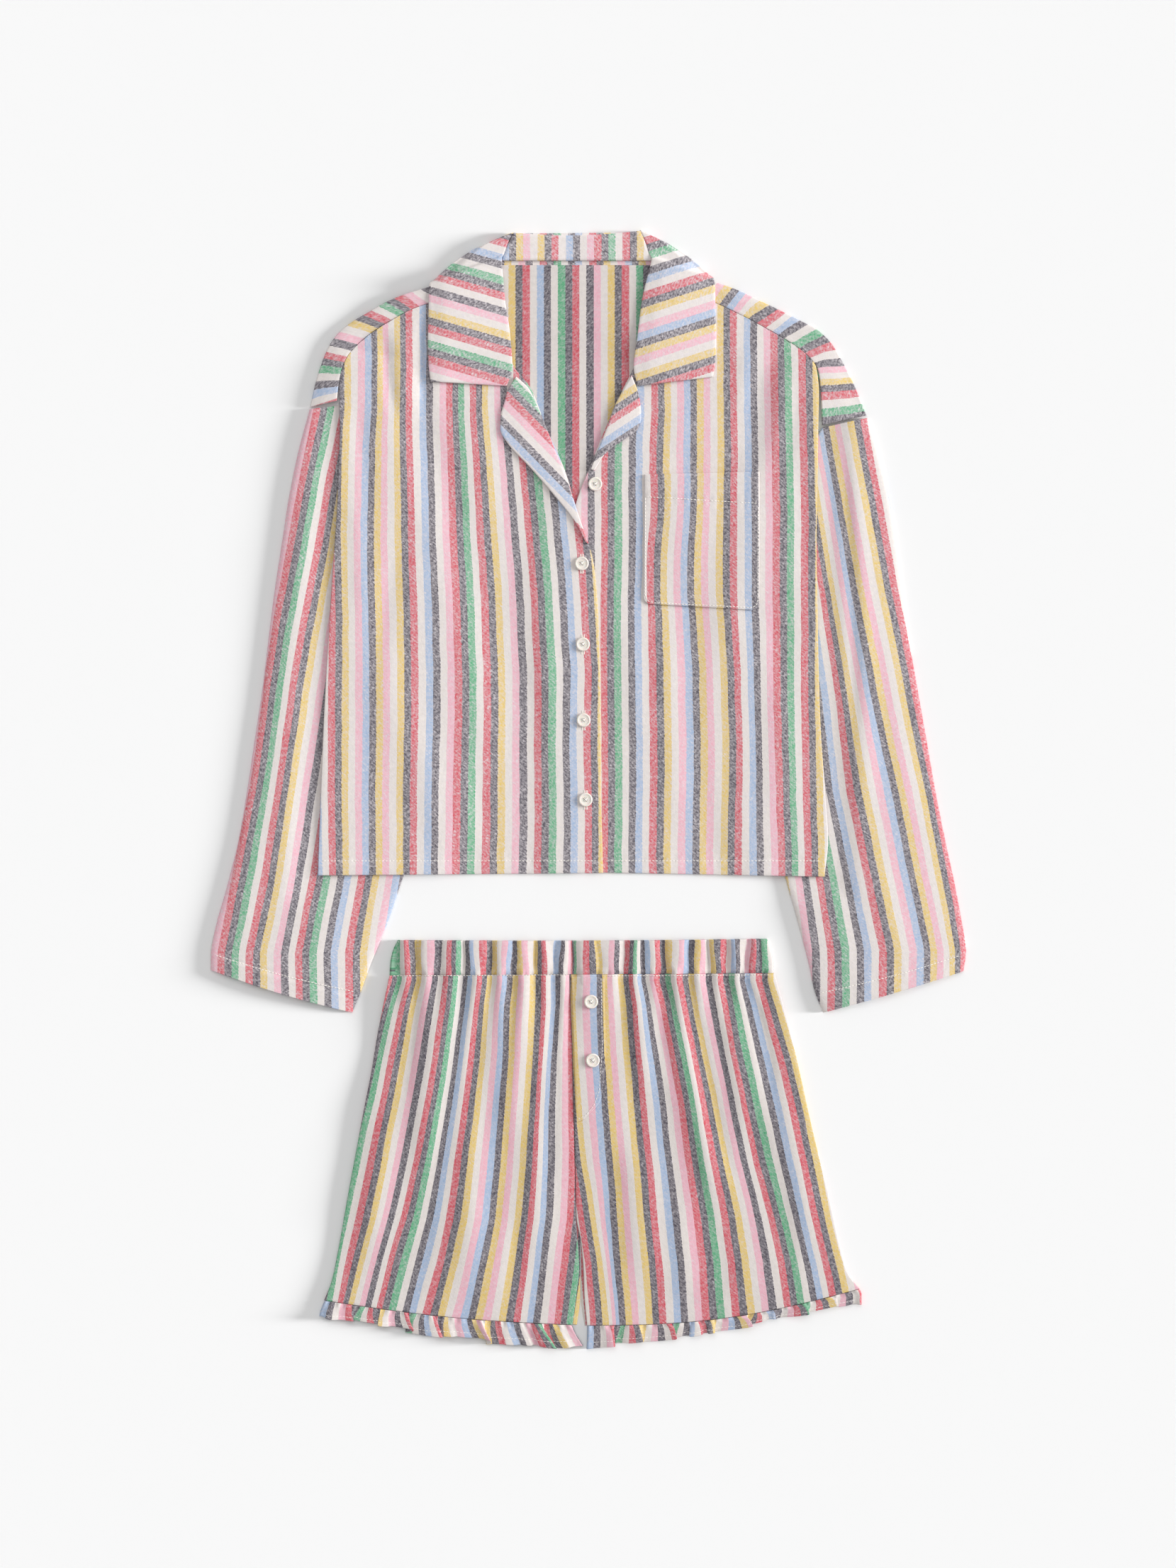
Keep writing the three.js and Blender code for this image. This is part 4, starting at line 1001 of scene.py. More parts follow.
# Cast polyester, polished: a clear gloss over a milky body, with pearl streaks 4 mm apart, so it catches the
# light at its rim and glows a little at its edges.
pearl, tree, output = new_material("pearly_cast_polyester")
point = add(tree, "TexCoord").outputs["Object"]
streak = add(tree, "TexNoise", {"Vector": point, "Scale": 260.0, "Detail": 3.0, "Distortion": 1.2})
tint = add(tree, "Mix", {0: streak, 6: colour("#DFD4C8"), 7: colour("#F6F1EA")}, data_type="RGBA")
surface = add(tree, "BsdfPrincipled", {"Base Color": tint, "Roughness": 0.22, "IOR": 1.54,
                                       "Subsurface Weight": 0.15, "Subsurface Scale": 0.001,
                                       "Coat Weight": 0.3, "Coat Roughness": 0.1})
tree.links.new(surface.outputs["BSDF"], output.inputs["Surface"])

# Spun thread: dull and slightly hairy, with plies that break up its light, so stitches read soft and white.
thread, tree, output = new_material("spun_polyester_thread")
point = add(tree, "TexCoord").outputs["Object"]
plies = add(tree, "TexWave", {"Vector": point, "Scale": 900.0, "Distortion": 1.0}).outputs["Fac"]
bump = add(tree, "Bump", {"Height": plies, "Strength": 0.3, "Distance": 0.05 * MM})
surface = add(tree, "BsdfPrincipled", {"Base Color": colour("#F6F1EA"), "Roughness": 0.7, "Sheen Weight": 0.1,
                                       "Normal": bump})
tree.links.new(surface.outputs["BSDF"], output.inputs["Surface"])


def button_mesh():
    """A dished disc with a rounded rim and four drilled holes, seated at z = 0."""
    radius, thick, rim, dish = (BUTTON[k] for k in ("radius", "thick", "rim", "dish"))
    profile = [(0, 0), (radius - 1, 0), (radius - 0.35, 0.35), (radius, 1.1), (radius - 0.1, 1.8),
               (radius - 0.45, thick - 0.15), (radius - 0.9, thick), (radius - rim, thick - 0.05),
               (radius - rim - 0.35, thick - dish * 0.6), (radius - rim - 0.9, thick - dish),
               (0, thick - dish)]
    turn = 48
    ring = np.arange(turn) * 2 * math.pi / turn
    points = [(0, 0, 0)]
    for r, z in profile[1:-1]:
        points += [(r * math.cos(a), r * math.sin(a), z) for a in ring]
    points.append((0, 0, profile[-1][1]))
    faces = [(0, 1 + (i + 1) % turn, 1 + i) for i in range(turn)]
    for k in range(len(profile) - 3):
        low, up = 1 + k * turn, 1 + (k + 1) * turn
        faces += [(low + i, low + (i + 1) % turn, up + (i + 1) % turn, up + i) for i in range(turn)]
    top, last = len(points) - 1, 1 + (len(profile) - 3) * turn
    faces += [(last + i, last + (i + 1) % turn, top) for i in range(turn)]
    disc = bpy.data.meshes.new("button")
    disc.from_pydata([tuple(np.array(p) * MM) for p in points], [], faces)
    return disc


def drilled(disc):
    """The disc's mesh with its four holes cut through."""
    holes = bpy.data.meshes.new("drills")
    points, faces = [], []
    for corner in HOLE_TURNS:
        a = math.radians(corner)
        cx, cy = BUTTON["spread"] * math.cos(a), BUTTON["spread"] * math.sin(a)
        first, turn = len(points), 16
        for z in (-1.0, 4.0):
            points += [(cx + BUTTON["hole"] * math.cos(t * 2 * math.pi / turn),
                        cy + BUTTON["hole"] * math.sin(t * 2 * math.pi / turn), z) for t in range(turn)]
        faces += [tuple(first + turn - 1 - i for i in range(turn)),
                  tuple(first + turn + i for i in range(turn))]
        faces += [(first + i, first + (i + 1) % turn, first + turn + (i + 1) % turn, first + turn + i)
                  for i in range(turn)]
    holes.from_pydata([tuple(np.array(p) * MM) for p in points], [], faces)
    blank, drill = (bpy.data.objects.new(mesh.name, mesh) for mesh in (disc, holes))
    for part in (blank, drill):
        bpy.context.collection.objects.link(part)
    cut = blank.modifiers.new("drill", "BOOLEAN")
    cut.object, cut.operation, cut.solver = drill, "DIFFERENCE", "EXACT"
    bpy.context.view_layer.update()
    made = bpy.data.meshes.new_from_object(blank.evaluated_get(bpy.context.evaluated_depsgraph_get()))
    for part in (blank, drill):
        bpy.data.objects.remove(part)
    return made


def capsules(points, ways, length, radius, sides=6):
    """Short round-ended lengths of thread at each point, lying along each way."""
    points, ways = np.asarray(points, float), np.asarray(ways, float)
    ways = ways / np.linalg.norm(ways, axis=1, keepdims=True)
    aside = np.cross(ways, [0, 0, 1.0])
    aside /= np.linalg.norm(aside, axis=1, keepdims=True)
    above = np.cross(aside, ways)
    rows = [(-0.5, 0.0), (-0.42, 0.75), (-0.2, 1.0), (0.2, 1.0), (0.42, 0.75), (0.5, 0.0)]
    corners = np.arange(sides) * 2 * math.pi / sides
    outward = [math.cos(a) * aside + math.sin(a) * above for a in corners]
    rings = np.stack([
        np.stack([points + ways * length * at + radius * max(fat, 0.05) * out for out in outward], 1)
        for at, fat in rows], 1)
    count, turns = len(points), len(rows)
    index = np.arange(count * turns * sides).reshape(count, turns, sides)
    beside = np.roll(index, -1, axis=2)
    faces = quads(index[:, :-1], beside[:, :-1], beside[:, 1:], index[:, 1:])[:, ::-1]
    return rings.reshape(-1, 3), faces


def thread_piece(name, point_sets):
    """One mesh of thread, on the body, from several sets of points and faces."""
    points, faces, uv = joined(*[(p, f, np.zeros((len(p), 2))) for p, f in point_sets])
    return new_piece(name, points, faces, uv, thread)


disc = drilled(button_mesh())
disc.materials.clear()
disc.materials.append(pearl)
button_crosses = []


def sew_buttons(name, places, top_of):
    """A button at each place, resting on the highest cloth below it, and its crossed thread."""
    for i, (cx, cy) in enumerate(places):
        reach = BUTTON["radius"] * np.array([-1.0, 0, 1])
        px, py = np.meshgrid(cx + reach, cy + reach)
        seat = float(np.max(top_of(px, py, i))) + BUTTON_GAP
        button = bpy.data.objects.new(f"{name}_{i + 1}_disc", disc.copy())
        button.data.transform(Matrix.Translation((cx * MM, cy * MM, seat * MM)))
        bpy.context.collection.objects.link(button)
        button.data.polygons.foreach_set("use_smooth", np.ones(len(button.data.polygons), bool))
        button.data.set_sharp_from_angle(angle=math.radians(40))
        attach(button, "root")
        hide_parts(f"{name}_{i + 1}")
        high = seat + BUTTON["thick"] - BUTTON["dish"] + 0.1
        centres = [(cx - 0.12, cy + 0.12, high), (cx + 0.12, cy - 0.12, high), (cx, cy, high + 0.4)]
        crossed = [(1, 1, 0), (1, 0.94, 0), (1, -1, 0)]
        button_crosses.append(capsules(centres, crossed, CROSS_LONG, CROSS_RADIUS))


def button_side_top(x, y, i=1):
    """The shirt's upper side under a button: the first is on the left front, the others on the right."""
    chosen = front_floor(x, y) if i == 0 else front_right_floor(x, y)
    return chosen + surface_of(x, y)


sew_buttons("shirt_button", SHIRT_BUTTONS, button_side_top)


# Shorts: two backs face down, and two fronts face up, sewn to them at the sides and inside legs. The fronts
# are gathered into the waistband, and long soft creases run down from the gathers.
LEG_WIDE = 200.0
LEG_LONG = 285.0
LEG_RIGHT = table(
    "lx ly rx ry bow",
    (-163.5, -150.8, -16.5, -149.9, 0),
    (-168, -172, -15.6, -176, 0),
    (-173.5, -200, -14.4, -205, 0),
    (-178.5, -230, -13.6, -240, 0),
    (-184, -258, -12.8, -275, 0),
    (-190, -290, -12, -310, 0),
    (-196, -322, -11.4, -345, 0),
    (-201, -350, -9.8, -368, 0),
    (-206, -378, -8.6, -390, 0),
    (-211, -401, -11, -413, 0),
    (-217, -416.5, -14, -436.5, 3.5),
)
LEG_LEFT = table(
    "lx ly rx ry bow",
    (-16.1, -149.9, 151, -148.8, 0),
    (-15.2, -176, 157.5, -172, 0),
    (-14, -205, 165, -200, 0),
    (-13.2, -240, 172.5, -232, 0),
    (-12.4, -275, 179, -262, 0),
    (-11.6, -310, 186, -292, 0),
    (-11, -345, 193, -320, 0),
    (-6.7, -370, 199, -347, 0),
    (-4.9, -392, 205, -374, 0),
    (-4, -415, 211, -394, 0),
    (-2, -437, 221, -407, 9),
)
LEG_FOLDS = table(
    "x0 y0 x1 y1 bend high half",
    (-118, -150, -140, -330, 3, 3.0, 12),
    (-62, -150, -70, -300, -2, 2.4, 11),
    (-36, -170, -44, -400, 2, 2.2, 13),
    (-96, -250, -104, -420, -3, 2.3, 14),
    (-160, -240, -184, -400, 2, 2.0, 12),
    (34, -150, 44, -260, -2, 2.4, 10),
    (62, -150, 106, -345, 3, 3.2, 12),
    (108, -150, 132, -300, -2, 2.7, 11),
    (40, -270, 48, -420, 3, 2.1, 15),
    (150, -230, 184, -390, -2, 2.2, 13),
)
LEG_CREASES = table(
    "x0 y0 x1 y1 bend high half",
    (-140, -160, -152, -260, 2, -1.5, 5),
    (-90, -155, -98, -250, -2, -1.3, 6),
    (-76, -230, -86, -360, 3, -1.0, 8),
    (-30, -200, -32, -330, 0, -0.9, 6),
    (-128, -340, -150, -420, 2, -1.0, 8),
    (-60, -340, -66, -425, -2, -0.9, 7),
    (20, -280, 22, -400, 1, -0.9, 7),
    (80, -160, 122, -330, 5, -1.7, 5),
    (52, -160, 80, -260, 3, -1.3, 5),
    (126, -160, 150, -250, -3, -1.3, 6),
    (100, -350, 112, -420, 2, -1.0, 8),
    (150, -300, 168, -400, 2, -1.0, 7),
    (70, -330, 78, -425, -2, 1.0, 9),
)
# The valleys between the waistband's ribs: how deep each is there, and how strong a crease it sends down the
# front, and how far.
WAIST_VALLEYS = table(
    "x deep creased reach",
    (-157, 1.0, 0.6, 40),
    (-142, 1.0, 0.6, 45),
    (-124, 0.5, 0.4, 30),
    (-103, 0.9, 1.0, 95),
    (-81, 1.0, 0.5, 35),
    (-63, 0.8, 1.0, 100),
    (-44, 1.0, 0.6, 40),
    (-29, 0.8, 1.0, 90),
    (-14, 1.0, 0.7, 60),
    (8, 0.3, 0.0, 10),
    (28, 1.0, 0.9, 75),
    (44, 0.6, 0.4, 35),
    (61, 1.0, 1.2, 120),
    (81, 0.8, 0.5, 40),
    (97, 0.9, 0.5, 45),
    (112, 1.0, 1.0, 95),
    (127, 0.8, 0.9, 85),
    (139, 0.6, 0.4, 30),
)
GATHER_HIGH = 2.3
GATHER_LONG = 62.0
CREASE_DEEP = 4.6
WAIST_SEAM = -150.5
HEM_RISE = -425.0  # where the legs come down to the floor, above their hems
LEG_AIR = 1.4  # how far a front stands off its back in the middle of the leg
LEG_LEVELS = (-434, -385, -350, -303, -260, -215, -175, -155)
LEG_RIGHT_STRIPES = LEG_LEVELS, (
    (20, -218, -209.4, -203.2, -193, -183.3, -173, -163, -157.5),
    (24, -201, -188.5, -179.8, -170.4, -162.3, -153.6, -146.4, -141.9),
    (30, -172, -160, -150, -138.7, -130.3, -122.3, -117.1, -115.5),
    (36, -138, -124.5, -116.8, -110.2, -104, -98.2, -94.1, -91.8),
    (42, -100, -89, -82, -77.9, -74.3, -70.8, -69.9, -67.5),
    (48, -62, -54.9, -50.5, -47.1, -44.3, -41.2, -39.1, -39.4),
    (51, -46, -39.8, -36, -34.3, -33.3, -31, -27.6, -28),
    (54, -28.5, -22.7, -18.3, -17, -16.8, -17.4, -16.9, -15),
    (57, -13.5, -6, -3, -2, -1, 0, 0, 0),
)
LEG_LEFT_STRIPES = LEG_LEVELS, (
    (-1, -3.5, -8, -13, -23, -28, -30, -32, -32),
    (1, 5.5, 1.3, -4.2, -11.9, -16, -18, -20, -20),
    (3, 16.3, 11.4, 5.4, -2.5, -6, -9.6, -11.4, -10.1),
    (6, 24.3, 20, 17.2, 14.1, 10.7, 7.2, 5.9, 6.1),
    (12, 57, 54.3, 50.4, 46.5, 42.2, 37.6, 35.4, 32.5),
    (18, 92, 90, 85.7, 78.5, 73, 65.2, 58.1, 53),
    (24, 130, 125, 119.7, 109, 100.7, 91.8, 84.6, 81),
    (30, 167, 160, 151.9, 139, 129.2, 120.5, 113.9, 109.5),
    (36, 200, 190.5, 182.4, 172.5, 163.7, 152.9, 142.1, 136),
    (39, 217, 207, 197.9, 188.5, 180, 169, 157, 150.5),
)


def valleys(x, width, sharp=False):
    """The depth of the waist's valleys at x, summed: each a soft hollow of that width, or a sharp one."""
    total = np.zeros_like(x)
    for centre, deep in zip(WAIST_VALLEYS["x"], WAIST_VALLEYS["deep"]):
        aside = np.abs(x - centre) / width
        total += deep * np.exp(-aside if sharp else -(aside**2))
    return total


def leg_floor(x, y):
    """The underside of a front of the shorts: over its back with air between, and gathered at the waist."""
    fade = smooth((y - WAIST_SEAM + GATHER_LONG) / GATHER_LONG)
    outer = np.where(x < CENTRE_X, through(LEG_RIGHT["ly"], LEG_RIGHT["lx"], y),
                     through(LEG_LEFT["ry"], LEG_LEFT["rx"], y))
    air = LEG_AIR * np.sin(math.pi * np.clip((x - CENTRE_X) / (outer - CENTRE_X), 0, 1)) ** 0.7
    frill_near = 0.35 + 0.65 * smooth((y - HEM_RISE) / 26)
    gathers = GATHER_HIGH * np.clip(1 - valleys(x, 6), 0, 1) * fade
    return LAYER + REST + gathers + (air + folds(x, y, LEG_FOLDS)) * frill_near


def leg_surface(x, y, chart):
    """How far a front of the shorts stands over its floor. Its creases run down along the stripes, and each
    point's place at the waist, waist_x, is where its stripe starts."""
    below = np.clip(WAIST_SEAM - y, 0, 400)
    stripes, at_waist = zip(*((row[0], row[-1]) for row in chart[1]))
    waist_x = np.interp(stripe_at(x, y, chart), stripes, at_waist)
    dents = 0.0
    for centre, creased, reach in zip(*(WAIST_VALLEYS[k] for k in ("x", "creased", "reach"))):
        aside = waist_x - centre
        shape = 0.5 * np.exp(-((aside / 5.5) ** 2)) + 0.5 * np.exp(-np.abs(aside) / 1.7)
        dents += creased * np.exp(-below / reach) * (shape - 0.3 * np.exp(-(((aside - 9) / 6) ** 2)))
    plumper = 1.2 * np.exp(-below / 60) - CREASE_DEEP * dents
    pinch = 1.2 * smooth(1 - below / 15) * (np.abs(np.sin(waist_x * 0.37 + 0.6)) ** 0.6 - 0.62)
    pinch -= 0.9 * np.exp(-((below / 1.6) ** 2))
    creases = (folds(x, y, LEG_CREASES) + 0.45 * ripple(x, y, 61, 60)) * smooth((y + 430) / 20)
    return np.maximum(LAYER + creases + plumper + pinch, 0.6)


def leg_top(x, y, chart):
    """The upper side of a front of the shorts."""
    return leg_floor(x, y) + leg_surface(x, y, chart)


def back_leg(rows, inner, way):
    """A back's outline: just inside the front's, but for its last rows, which reach in to the middle above
    the hem, where the legs part. way is 1 for the left leg and -1 for the right."""
    made = {**rows, "lx": rows["lx"] + 0.4, "rx": rows["rx"] - 0.4}
    made[inner][6:] = -7.2 + 0.4 * way
    made[inner][-1] = -7.2 + 3.2 * way
    return made


def leg(name, rows, back_rows, chart, back_stripe):
    """The front and the back of one leg. back_stripe is where the back's stripes start, as they run the
    other way."""
    front_name, back_name = f"shorts_front_{name}", f"shorts_back_{name}"
    grid = laid(rows, spread(LEG_WIDE, 2.6), spread(LEG_LONG, 2.8))
    x, y = grid["x"], grid["y"]
    low, high = leg_floor(x, y), leg_top(x, y, chart)
    uv = np.stack([stripe_at(x, y, chart) * STRIPE + sway(x, y, 63), y], -1)
    front_piece = new_piece(front_name, *shell(x, y, high, low, uv), LESS_BRUSHED_PAINTED_DARKER, "twill", [front_name])

    grid = laid(back_rows, spread(LEG_WIDE, 5), spread(LEG_LONG, 5))
    x, y = grid["x"], grid["y"]
    uv = np.stack([(back_stripe - stripe_at(x, y, chart)) * STRIPE, y], -1)
    panel = shell(x, y, 0 * x + LAYER, 0 * x, uv)
    back_piece = new_piece(back_name, *panel, LESS_BRUSHED_PAINTED_DARKER, "twill", [back_name])


leg("right", LEG_RIGHT, back_leg(LEG_RIGHT, "rx", -1), LEG_RIGHT_STRIPES, 68.0)
leg("left", LEG_LEFT, back_leg(LEG_LEFT, "lx", 1), LEG_LEFT_STRIPES, 12.0)


# Waistband: a folded casing round the waist, drawn up by the elastic sewn into it, so that it stands in plump
# ribs with deep soft valleys between them. A row of stitches holds it to the legs.
CASING = 1.6  # the casing and the elastic in it
CASING_WALL = 0.9
CASING_DEEP = 28.6
RIB_HIGH = 2.6 * CASING + REST + 1.2
WAIST_RIGHT_END = -163.0
WAIST_LEFT_END = 151.0
WAISTBAND = table(
    "lx ly rx ry bow",
    (-157, -122, 146, -121, 1),
    (-161, -131, 148.5, -130, 0),
    (-163, -141, 150.5, -140, 0),
    (-163.5, -150.6, 151, -148.6, 0),
)
WAIST_STRIPES = table(
    "stripe x",
    (20, -159), (21, -154.5), (24, -142.2), (27, -126.8), (30, -112.5), (33, -101.5), (36, -88.8),
    (39, -75.5), (42, -64.5), (45, -49), (48, -38.8), (51, -25.2), (53.5, -15.5), (55.5, -13.5),
    (57, -10.8), (60, 5.8), (63, 20.5), (66, 31.8), (69, 42), (72, 54), (75, 67.5),
    (78, 81.2), (81, 94.8), (84, 108), (87, 119.5), (90, 130.5), (93, 146.5), (94, 151),
)


def rib_lean(x, up):
    """How far the ribs lean to the side, in millimetres, at a height up from the seam."""
    whole = (1.6 * np.sin(x / 7.9 + 1) + 1.2 * np.sin(x / 3.1)) * smooth(up / CASING_DEEP)
    return whole + 0.45 * np.sin(up / 5.1 + x / 3.5) * smooth(up / 8)


def waist_top(x, y, up):
    """The waistband's upper side: ribs and valleys, lower at its two ends, and drawn down to the seam."""
    ribs = x + 0.8 * rib_lean(x, up)
    bulge = 0.9 * np.sin(math.pi * np.clip(up / CASING_DEEP, 0, 1)) ** 0.5
    full = RIB_HIGH + bulge - 2.9 * valleys(ribs, 4.6) - 2.0 * valleys(ribs, 1.3, sharp=True)
    full = full + 0.25 * ripple(x, y, 71, 24)
    full = full - 2.6 * (1 - smooth(np.minimum(x - WAIST_RIGHT_END, WAIST_LEFT_END - x) / 14))
    seam_y = WAIST_SEAM + 0 * x
    right, left = (leg_top(x, seam_y, chart) for chart in (LEG_RIGHT_STRIPES, LEG_LEFT_STRIPES))
    at_seam = np.where(x < CENTRE_X, right, left)
    groove = 1.1 * np.exp(-((up / 1.5) ** 2))
    return np.maximum(at_seam + (full - at_seam) * smooth(up / 8.5) ** 0.7 - groove, 2.0)


grid = laid(WAISTBAND, np.linspace(0, 1, 361), spread(29, 1.4))
x, y = grid["x"], grid["y"]
up = (1 - grid["t"]) * CASING_DEEP
stripe = np.interp(x + 0.7 * rib_lean(x, up), WAIST_STRIPES["x"], WAIST_STRIPES["stripe"])
uv = np.stack([stripe * STRIPE, y], -1)
casing = flat_tube(x, y, waist_top(x, y, up), CASING_WALL, uv)
waistband = new_piece("waistband", *casing, LESS_BRUSHED_PAINTED_DARKER, "twill", ["waistband"])


# Fly: a mock placket on the left front, a strip with its edges turned in, laid along the centre seam and
# topstitched down in a J. Two buttons are sewn on it.
FLY = table(
    "lx ly rx ry",
    (-14.6, -151.5, 12, -151.5),
    (-12.8, -212, 13, -212),
    (-11.6, -250, 10, -250),
    (-11.3, -271, -4, -268),
)
FLY_WIDE = 25.0
FLY_LONG = 120.0
SHORTS_BUTTONS = [(1.3, -172), (2.7, -220)]


def fly_floor(x, y):
    """The fly's underside, a little clear of the front's creases."""
    return leg_floor(x, y) + LAYER + REST + 0.4


def fly_top(x, y, i=0):
    """The fly's upper side, the same under each button."""
    return fly_floor(x, y) + LAYER


grid = laid(FLY, spread(FLY_WIDE, 1.6), spread(FLY_LONG, 2.0))
x, y = grid["x"], grid["y"]
low = fly_floor(x, y)
high = low + LAYER + 0.15 * ripple(x, y, 81, 30)
uv = np.stack([stripe_at(x, y, LEG_LEFT_STRIPES) * STRIPE, y + 5], -1)
fly = new_piece("fly", *shell(x, y, high, low, uv), LESS_BRUSHED_PAINTED_DARKER, "twill", ["fly"])
sew_buttons("shorts_button", SHORTS_BUTTONS, fly_top)


# Frills: a strip cut nearly twice as long as each leg's hem, gathered to it, with a narrow stitched hem of
# its own. It waves all along, and some of its folds fall over to one side, as pleats.
FRILL_RIGHT = table(
    "lx ly rx ry bow",
    (-217, -417, -14, -437, 3.5),
    (-219.5, -424, -11, -444, 3),
    (-221, -431, -5, -454, 3.5),
)
FRILL_LEFT = table(
    "lx ly rx ry bow",
    (-2, -437.5, 221, -407.5, 9),
    (-2, -445, 222.5, -410.5, 8),
    (-2.5, -455, 222.5, -414, 8),
)
FRILL_WAVES = 11
FRILL_GATHERS = 33
FRILL_HIGH = 2.4
FRILL_DEEP = 18.0
FRILL_WALL = 0.7
FRILL_HEM = 3.6
FRILL_SEWN = []  # the line of each hem's stitches
FRILL_RIGHT_PLEATS = table(
    "u over high",
    (0.125, 4.5, 1.8),
    (0.235, 3.0, 1.4),
    (0.345, 7.6, 2.8),
    (0.455, 3.4, 1.4),
    (0.64, 8.2, 3.0),
    (0.875, 6.8, 2.4),
    (0.955, 3.6, 1.6),
)
FRILL_LEFT_PLEATS = table(
    "u over high",
    (0.095, 7.2, 2.6),
    (0.195, 3.0, 1.4),
    (0.315, 7.4, 2.8),
    (0.46, 3.6, 1.6),
    (0.585, 7.0, 2.6),
    (0.69, 3.2, 1.4),
    (0.80, 5.0, 1.8),
    (0.91, 4.6, 1.6),
)
# How far the free edge steps up or down where a pleat ends.
FRILL_RIGHT_EDGE = table(
    "u up",
    (0, 1.5), (0.12, 1), (0.15, 3.2), (0.32, 1.8), (0.36, -1),
    (0.62, 0.8), (0.66, -3.6), (0.85, -1), (0.89, -4), (1, 0),
)
FRILL_LEFT_EDGE = table(
    "u up",
    (0, -1.5), (0.08, -1.5), (0.11, 2.4), (0.29, -0.6), (0.33, 2.2),
    (0.56, 0.8), (0.61, 3.4), (0.78, 0), (0.82, 1.2), (1, -5),
)


def frill(name, rows, offset, first, pleats, edge):
    """A frill, with its waves shifted by an offset and its stripes counted from the first."""
    grid = laid(rows, np.linspace(0, 1, 541), spread(FRILL_DEEP, 1.5))
    x, y, u, t = grid["x"], grid["y"], grid["u"], grid["t"]
    length = float(np.hypot(x[-1, -1] - x[-1, 0], y[-1, -1] - y[-1, 0]))
    at = u * FRILL_WAVES + 0.4 * np.sin(u * 9 + offset) + 0.3 * np.sin(u * 23 + 2 * offset)
    phase = 2 * math.pi * at
    size = 0.62 + 0.38 * np.sin(u * 31 + offset)
    opening = 0.25 + 0.75 * t
    ends = smooth(9 * np.minimum(u, 1 - u))
    wave = (0.5 + 0.5 * np.cos(phase)) * size
    shift = 2.1 * opening * (1.05 * np.sin(phase) + 0.5 * np.sin(2 * phase)) * size
    gathered = 0.5 * np.sin(u * 2 * math.pi * FRILL_GATHERS + 2 * np.sin(u * 17)) * (1 - smooth(t * 2.2))
    top = 2 * LAYER + REST + 0.4 + FRILL_HIGH * opening * wave + gathered
    for centre, over, high in zip(pleats["u"], pleats["over"], pleats["high"]):
        aside = (u - centre) * length / 7.0
        shift -= over * opening * 2.33 * aside * np.exp(-aside**2)
        crest, dip = np.exp(-((aside + 0.6) ** 2) / 0.5), np.exp(-((aside - 0.8) ** 2) / 0.5)
        top += high * opening * (crest - 0.6 * dip)
    top = np.clip(top + 0.3 * smooth((FRILL_HEM - (1 - t) * FRILL_DEEP) / 1.2), 2.6, 8.4)
    along_hem = np.stack([x[:, -1:] - x[:, :1], y[:, -1:] - y[:, :1]], -1)
    along_hem = along_hem / np.linalg.norm(along_hem, axis=-1, keepdims=True)
    x, y = x + shift * ends * along_hem[..., 0], y + shift * ends * along_hem[..., 1]
    y = y + t**2 * np.interp(u, edge["u"], edge["up"]) - 1.6 * t * (wave - 0.5)
    run = np.hypot(np.diff(x[-1]), np.hypot(np.diff(y[-1]), np.diff(top[-1])))
    cloth = np.r_[0, np.cumsum(run)]
    uv = np.stack([np.broadcast_to(first * STRIPE + cloth, x.shape), -t * FRILL_DEEP], -1)
    piece = new_piece(name, *flat_tube(x, y, top, FRILL_WALL, uv), LESS_BRUSHED_PAINTED_DARKER, "twill", [name])
    row = np.argmin(np.abs((1 - t[:, 20]) * FRILL_DEEP - FRILL_HEM))
    FRILL_SEWN.append(np.stack([x[row], y[row], top[row]], -1)[12:-12])


frill("frill_right", FRILL_RIGHT, 0.4, 14, FRILL_RIGHT_PLEATS, FRILL_RIGHT_EDGE)
frill("frill_left", FRILL_LEFT, 1.7, 14, FRILL_LEFT_PLEATS, FRILL_LEFT_EDGE)


# Topstitching: rows of cream lockstitch, 2.2 mm stitches at a 2.8 mm pitch, sunk into the cloth they hold.
# They run round the cuffs, the frills' and the shirt's hems, the pocket and the fly, and under the waistband.
# The four buttonholes of the right front have a bar of close stitches on each side.
STITCH = 2.2
STITCH_PITCH = 2.8
THREAD = 0.33
FINE_THREAD = 0.2
SUNK = 0.1
BAR_HALF = 8.0
BAR_PITCH = 0.62


def stitch_row(line, radius=THREAD):
    """Stitches along a line of points that lies on the cloth."""
    line = np.asarray(line, float)
    run = np.r_[0, np.cumsum(np.linalg.norm(np.diff(line, axis=0), axis=1))]
    places = np.arange(STITCH_PITCH / 2, run[-1] - STITCH_PITCH / 2, STITCH_PITCH)
    at = np.stack([np.interp(places, run, line[:, k]) for k in range(3)], 1)
    ahead = np.stack([np.interp(places + 0.8, run, line[:, k]) for k in range(3)], 1)
    behind = np.stack([np.interp(places - 0.8, run, line[:, k]) for k in range(3)], 1)
    return capsules(at + [0, 0, 0.08], ahead - behind, STITCH, radius, 5)


def along(places, step=2.0):
    """Points a small step apart along a line through the given places."""
    places = np.array(places, float)
    run = np.r_[0, np.cumsum(np.hypot(*np.diff(places, axis=0).T))]
    at = np.linspace(0, run[-1], int(run[-1] / step) + 2)
    return np.interp(at, run, places[:, 0]), np.interp(at, run, places[:, 1])


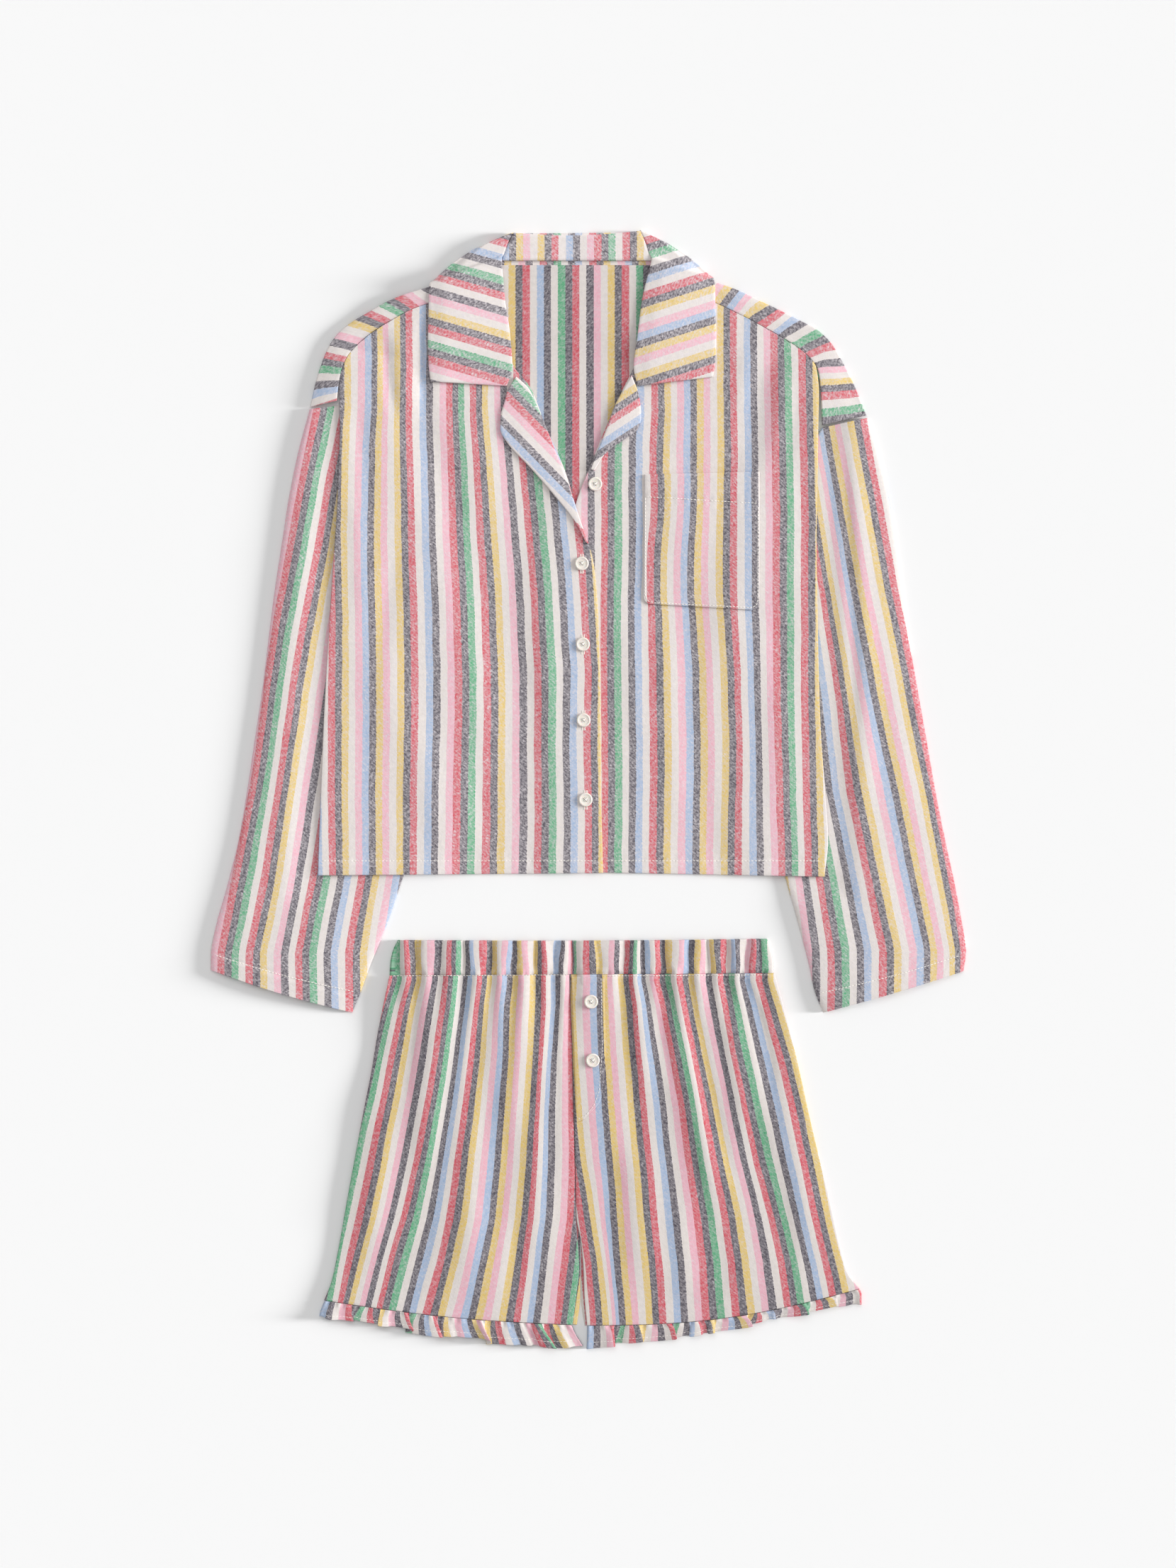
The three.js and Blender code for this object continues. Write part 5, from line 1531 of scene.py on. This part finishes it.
def on_cloth(x, y, top):
    """Points from their three coordinates."""
    return np.stack([x, y, top], 1)


def on_pocket(places):
    """A line through places on the pocket, each point as high as the nearest one of the pocket's grid."""
    x, y = along(places)
    grid_x, grid_y, high = (g.ravel() for g in pocket_grid)
    near = [np.argmin((grid_x - a) ** 2 + (grid_y - b) ** 2) for a, b in zip(x, y)]
    return on_cloth(x, y, high[near])


rows = [stitch_row(line) for line in SLEEVE_SEWN]
rows += [stitch_row(line - [0, 0, SUNK], FINE_THREAD) for line in FRILL_SEWN]

for floor_of, start, end in ((front_right_floor, -218, 8), (front_floor, 14, 190)):
    x, y = along([(start, HEM_Y + HEM_DEEP), (end, HEM_Y + HEM_DEEP)])
    rows.append(stitch_row(on_cloth(x, y, floor_of(x, y) + surface_of(x, y) - SUNK)))

round_pocket = [(45.6, 240), (45.6, 160), (47.5, 155.5), (52, 154),
                (132, 149.9), (136, 151.5), (137.4, 155), (137.6, 234)]
across_mouth = [(x, pocket_hem_y(x)) for x in (46, 137.5)]
rows += [stitch_row(on_pocket(round_pocket)), stitch_row(on_pocket(across_mouth))]

x, y = along([(9.4, -152.5), (10.4, -212), (7.8, -246), (3.5, -257), (-3, -265), (-10.5, -268.5)])
rows.append(stitch_row(on_cloth(x, y, fly_top(x, y) - SUNK), 0.24))

for chart, start, end in ((LEG_RIGHT_STRIPES, -161, -17), (LEG_LEFT_STRIPES, 15, 149)):
    x, y = along([(start, WAIST_SEAM - 0.6), (end, WAIST_SEAM + 0.4)])
    top = np.maximum(leg_top(x, y - 0.8, chart), leg_top(x, y - 2, chart) - 0.3)
    rows.append(stitch_row(on_cloth(x, y, top)))

for cx, cy in SHIRT_BUTTONS[1:]:
    for side in (-0.9, 0.9):
        y = cy + np.arange(-BAR_HALF, BAR_HALF + 0.1, BAR_PITCH)
        x = cx + side + 0 * y
        bar = on_cloth(x, y, button_side_top(x, y) + 0.1)
        rows.append(capsules(bar, [(1, 0.1, 0)] * len(bar), 1.5, 0.3, 5))

thread_piece("topstitching", rows)
thread_piece("button_thread", button_crosses)
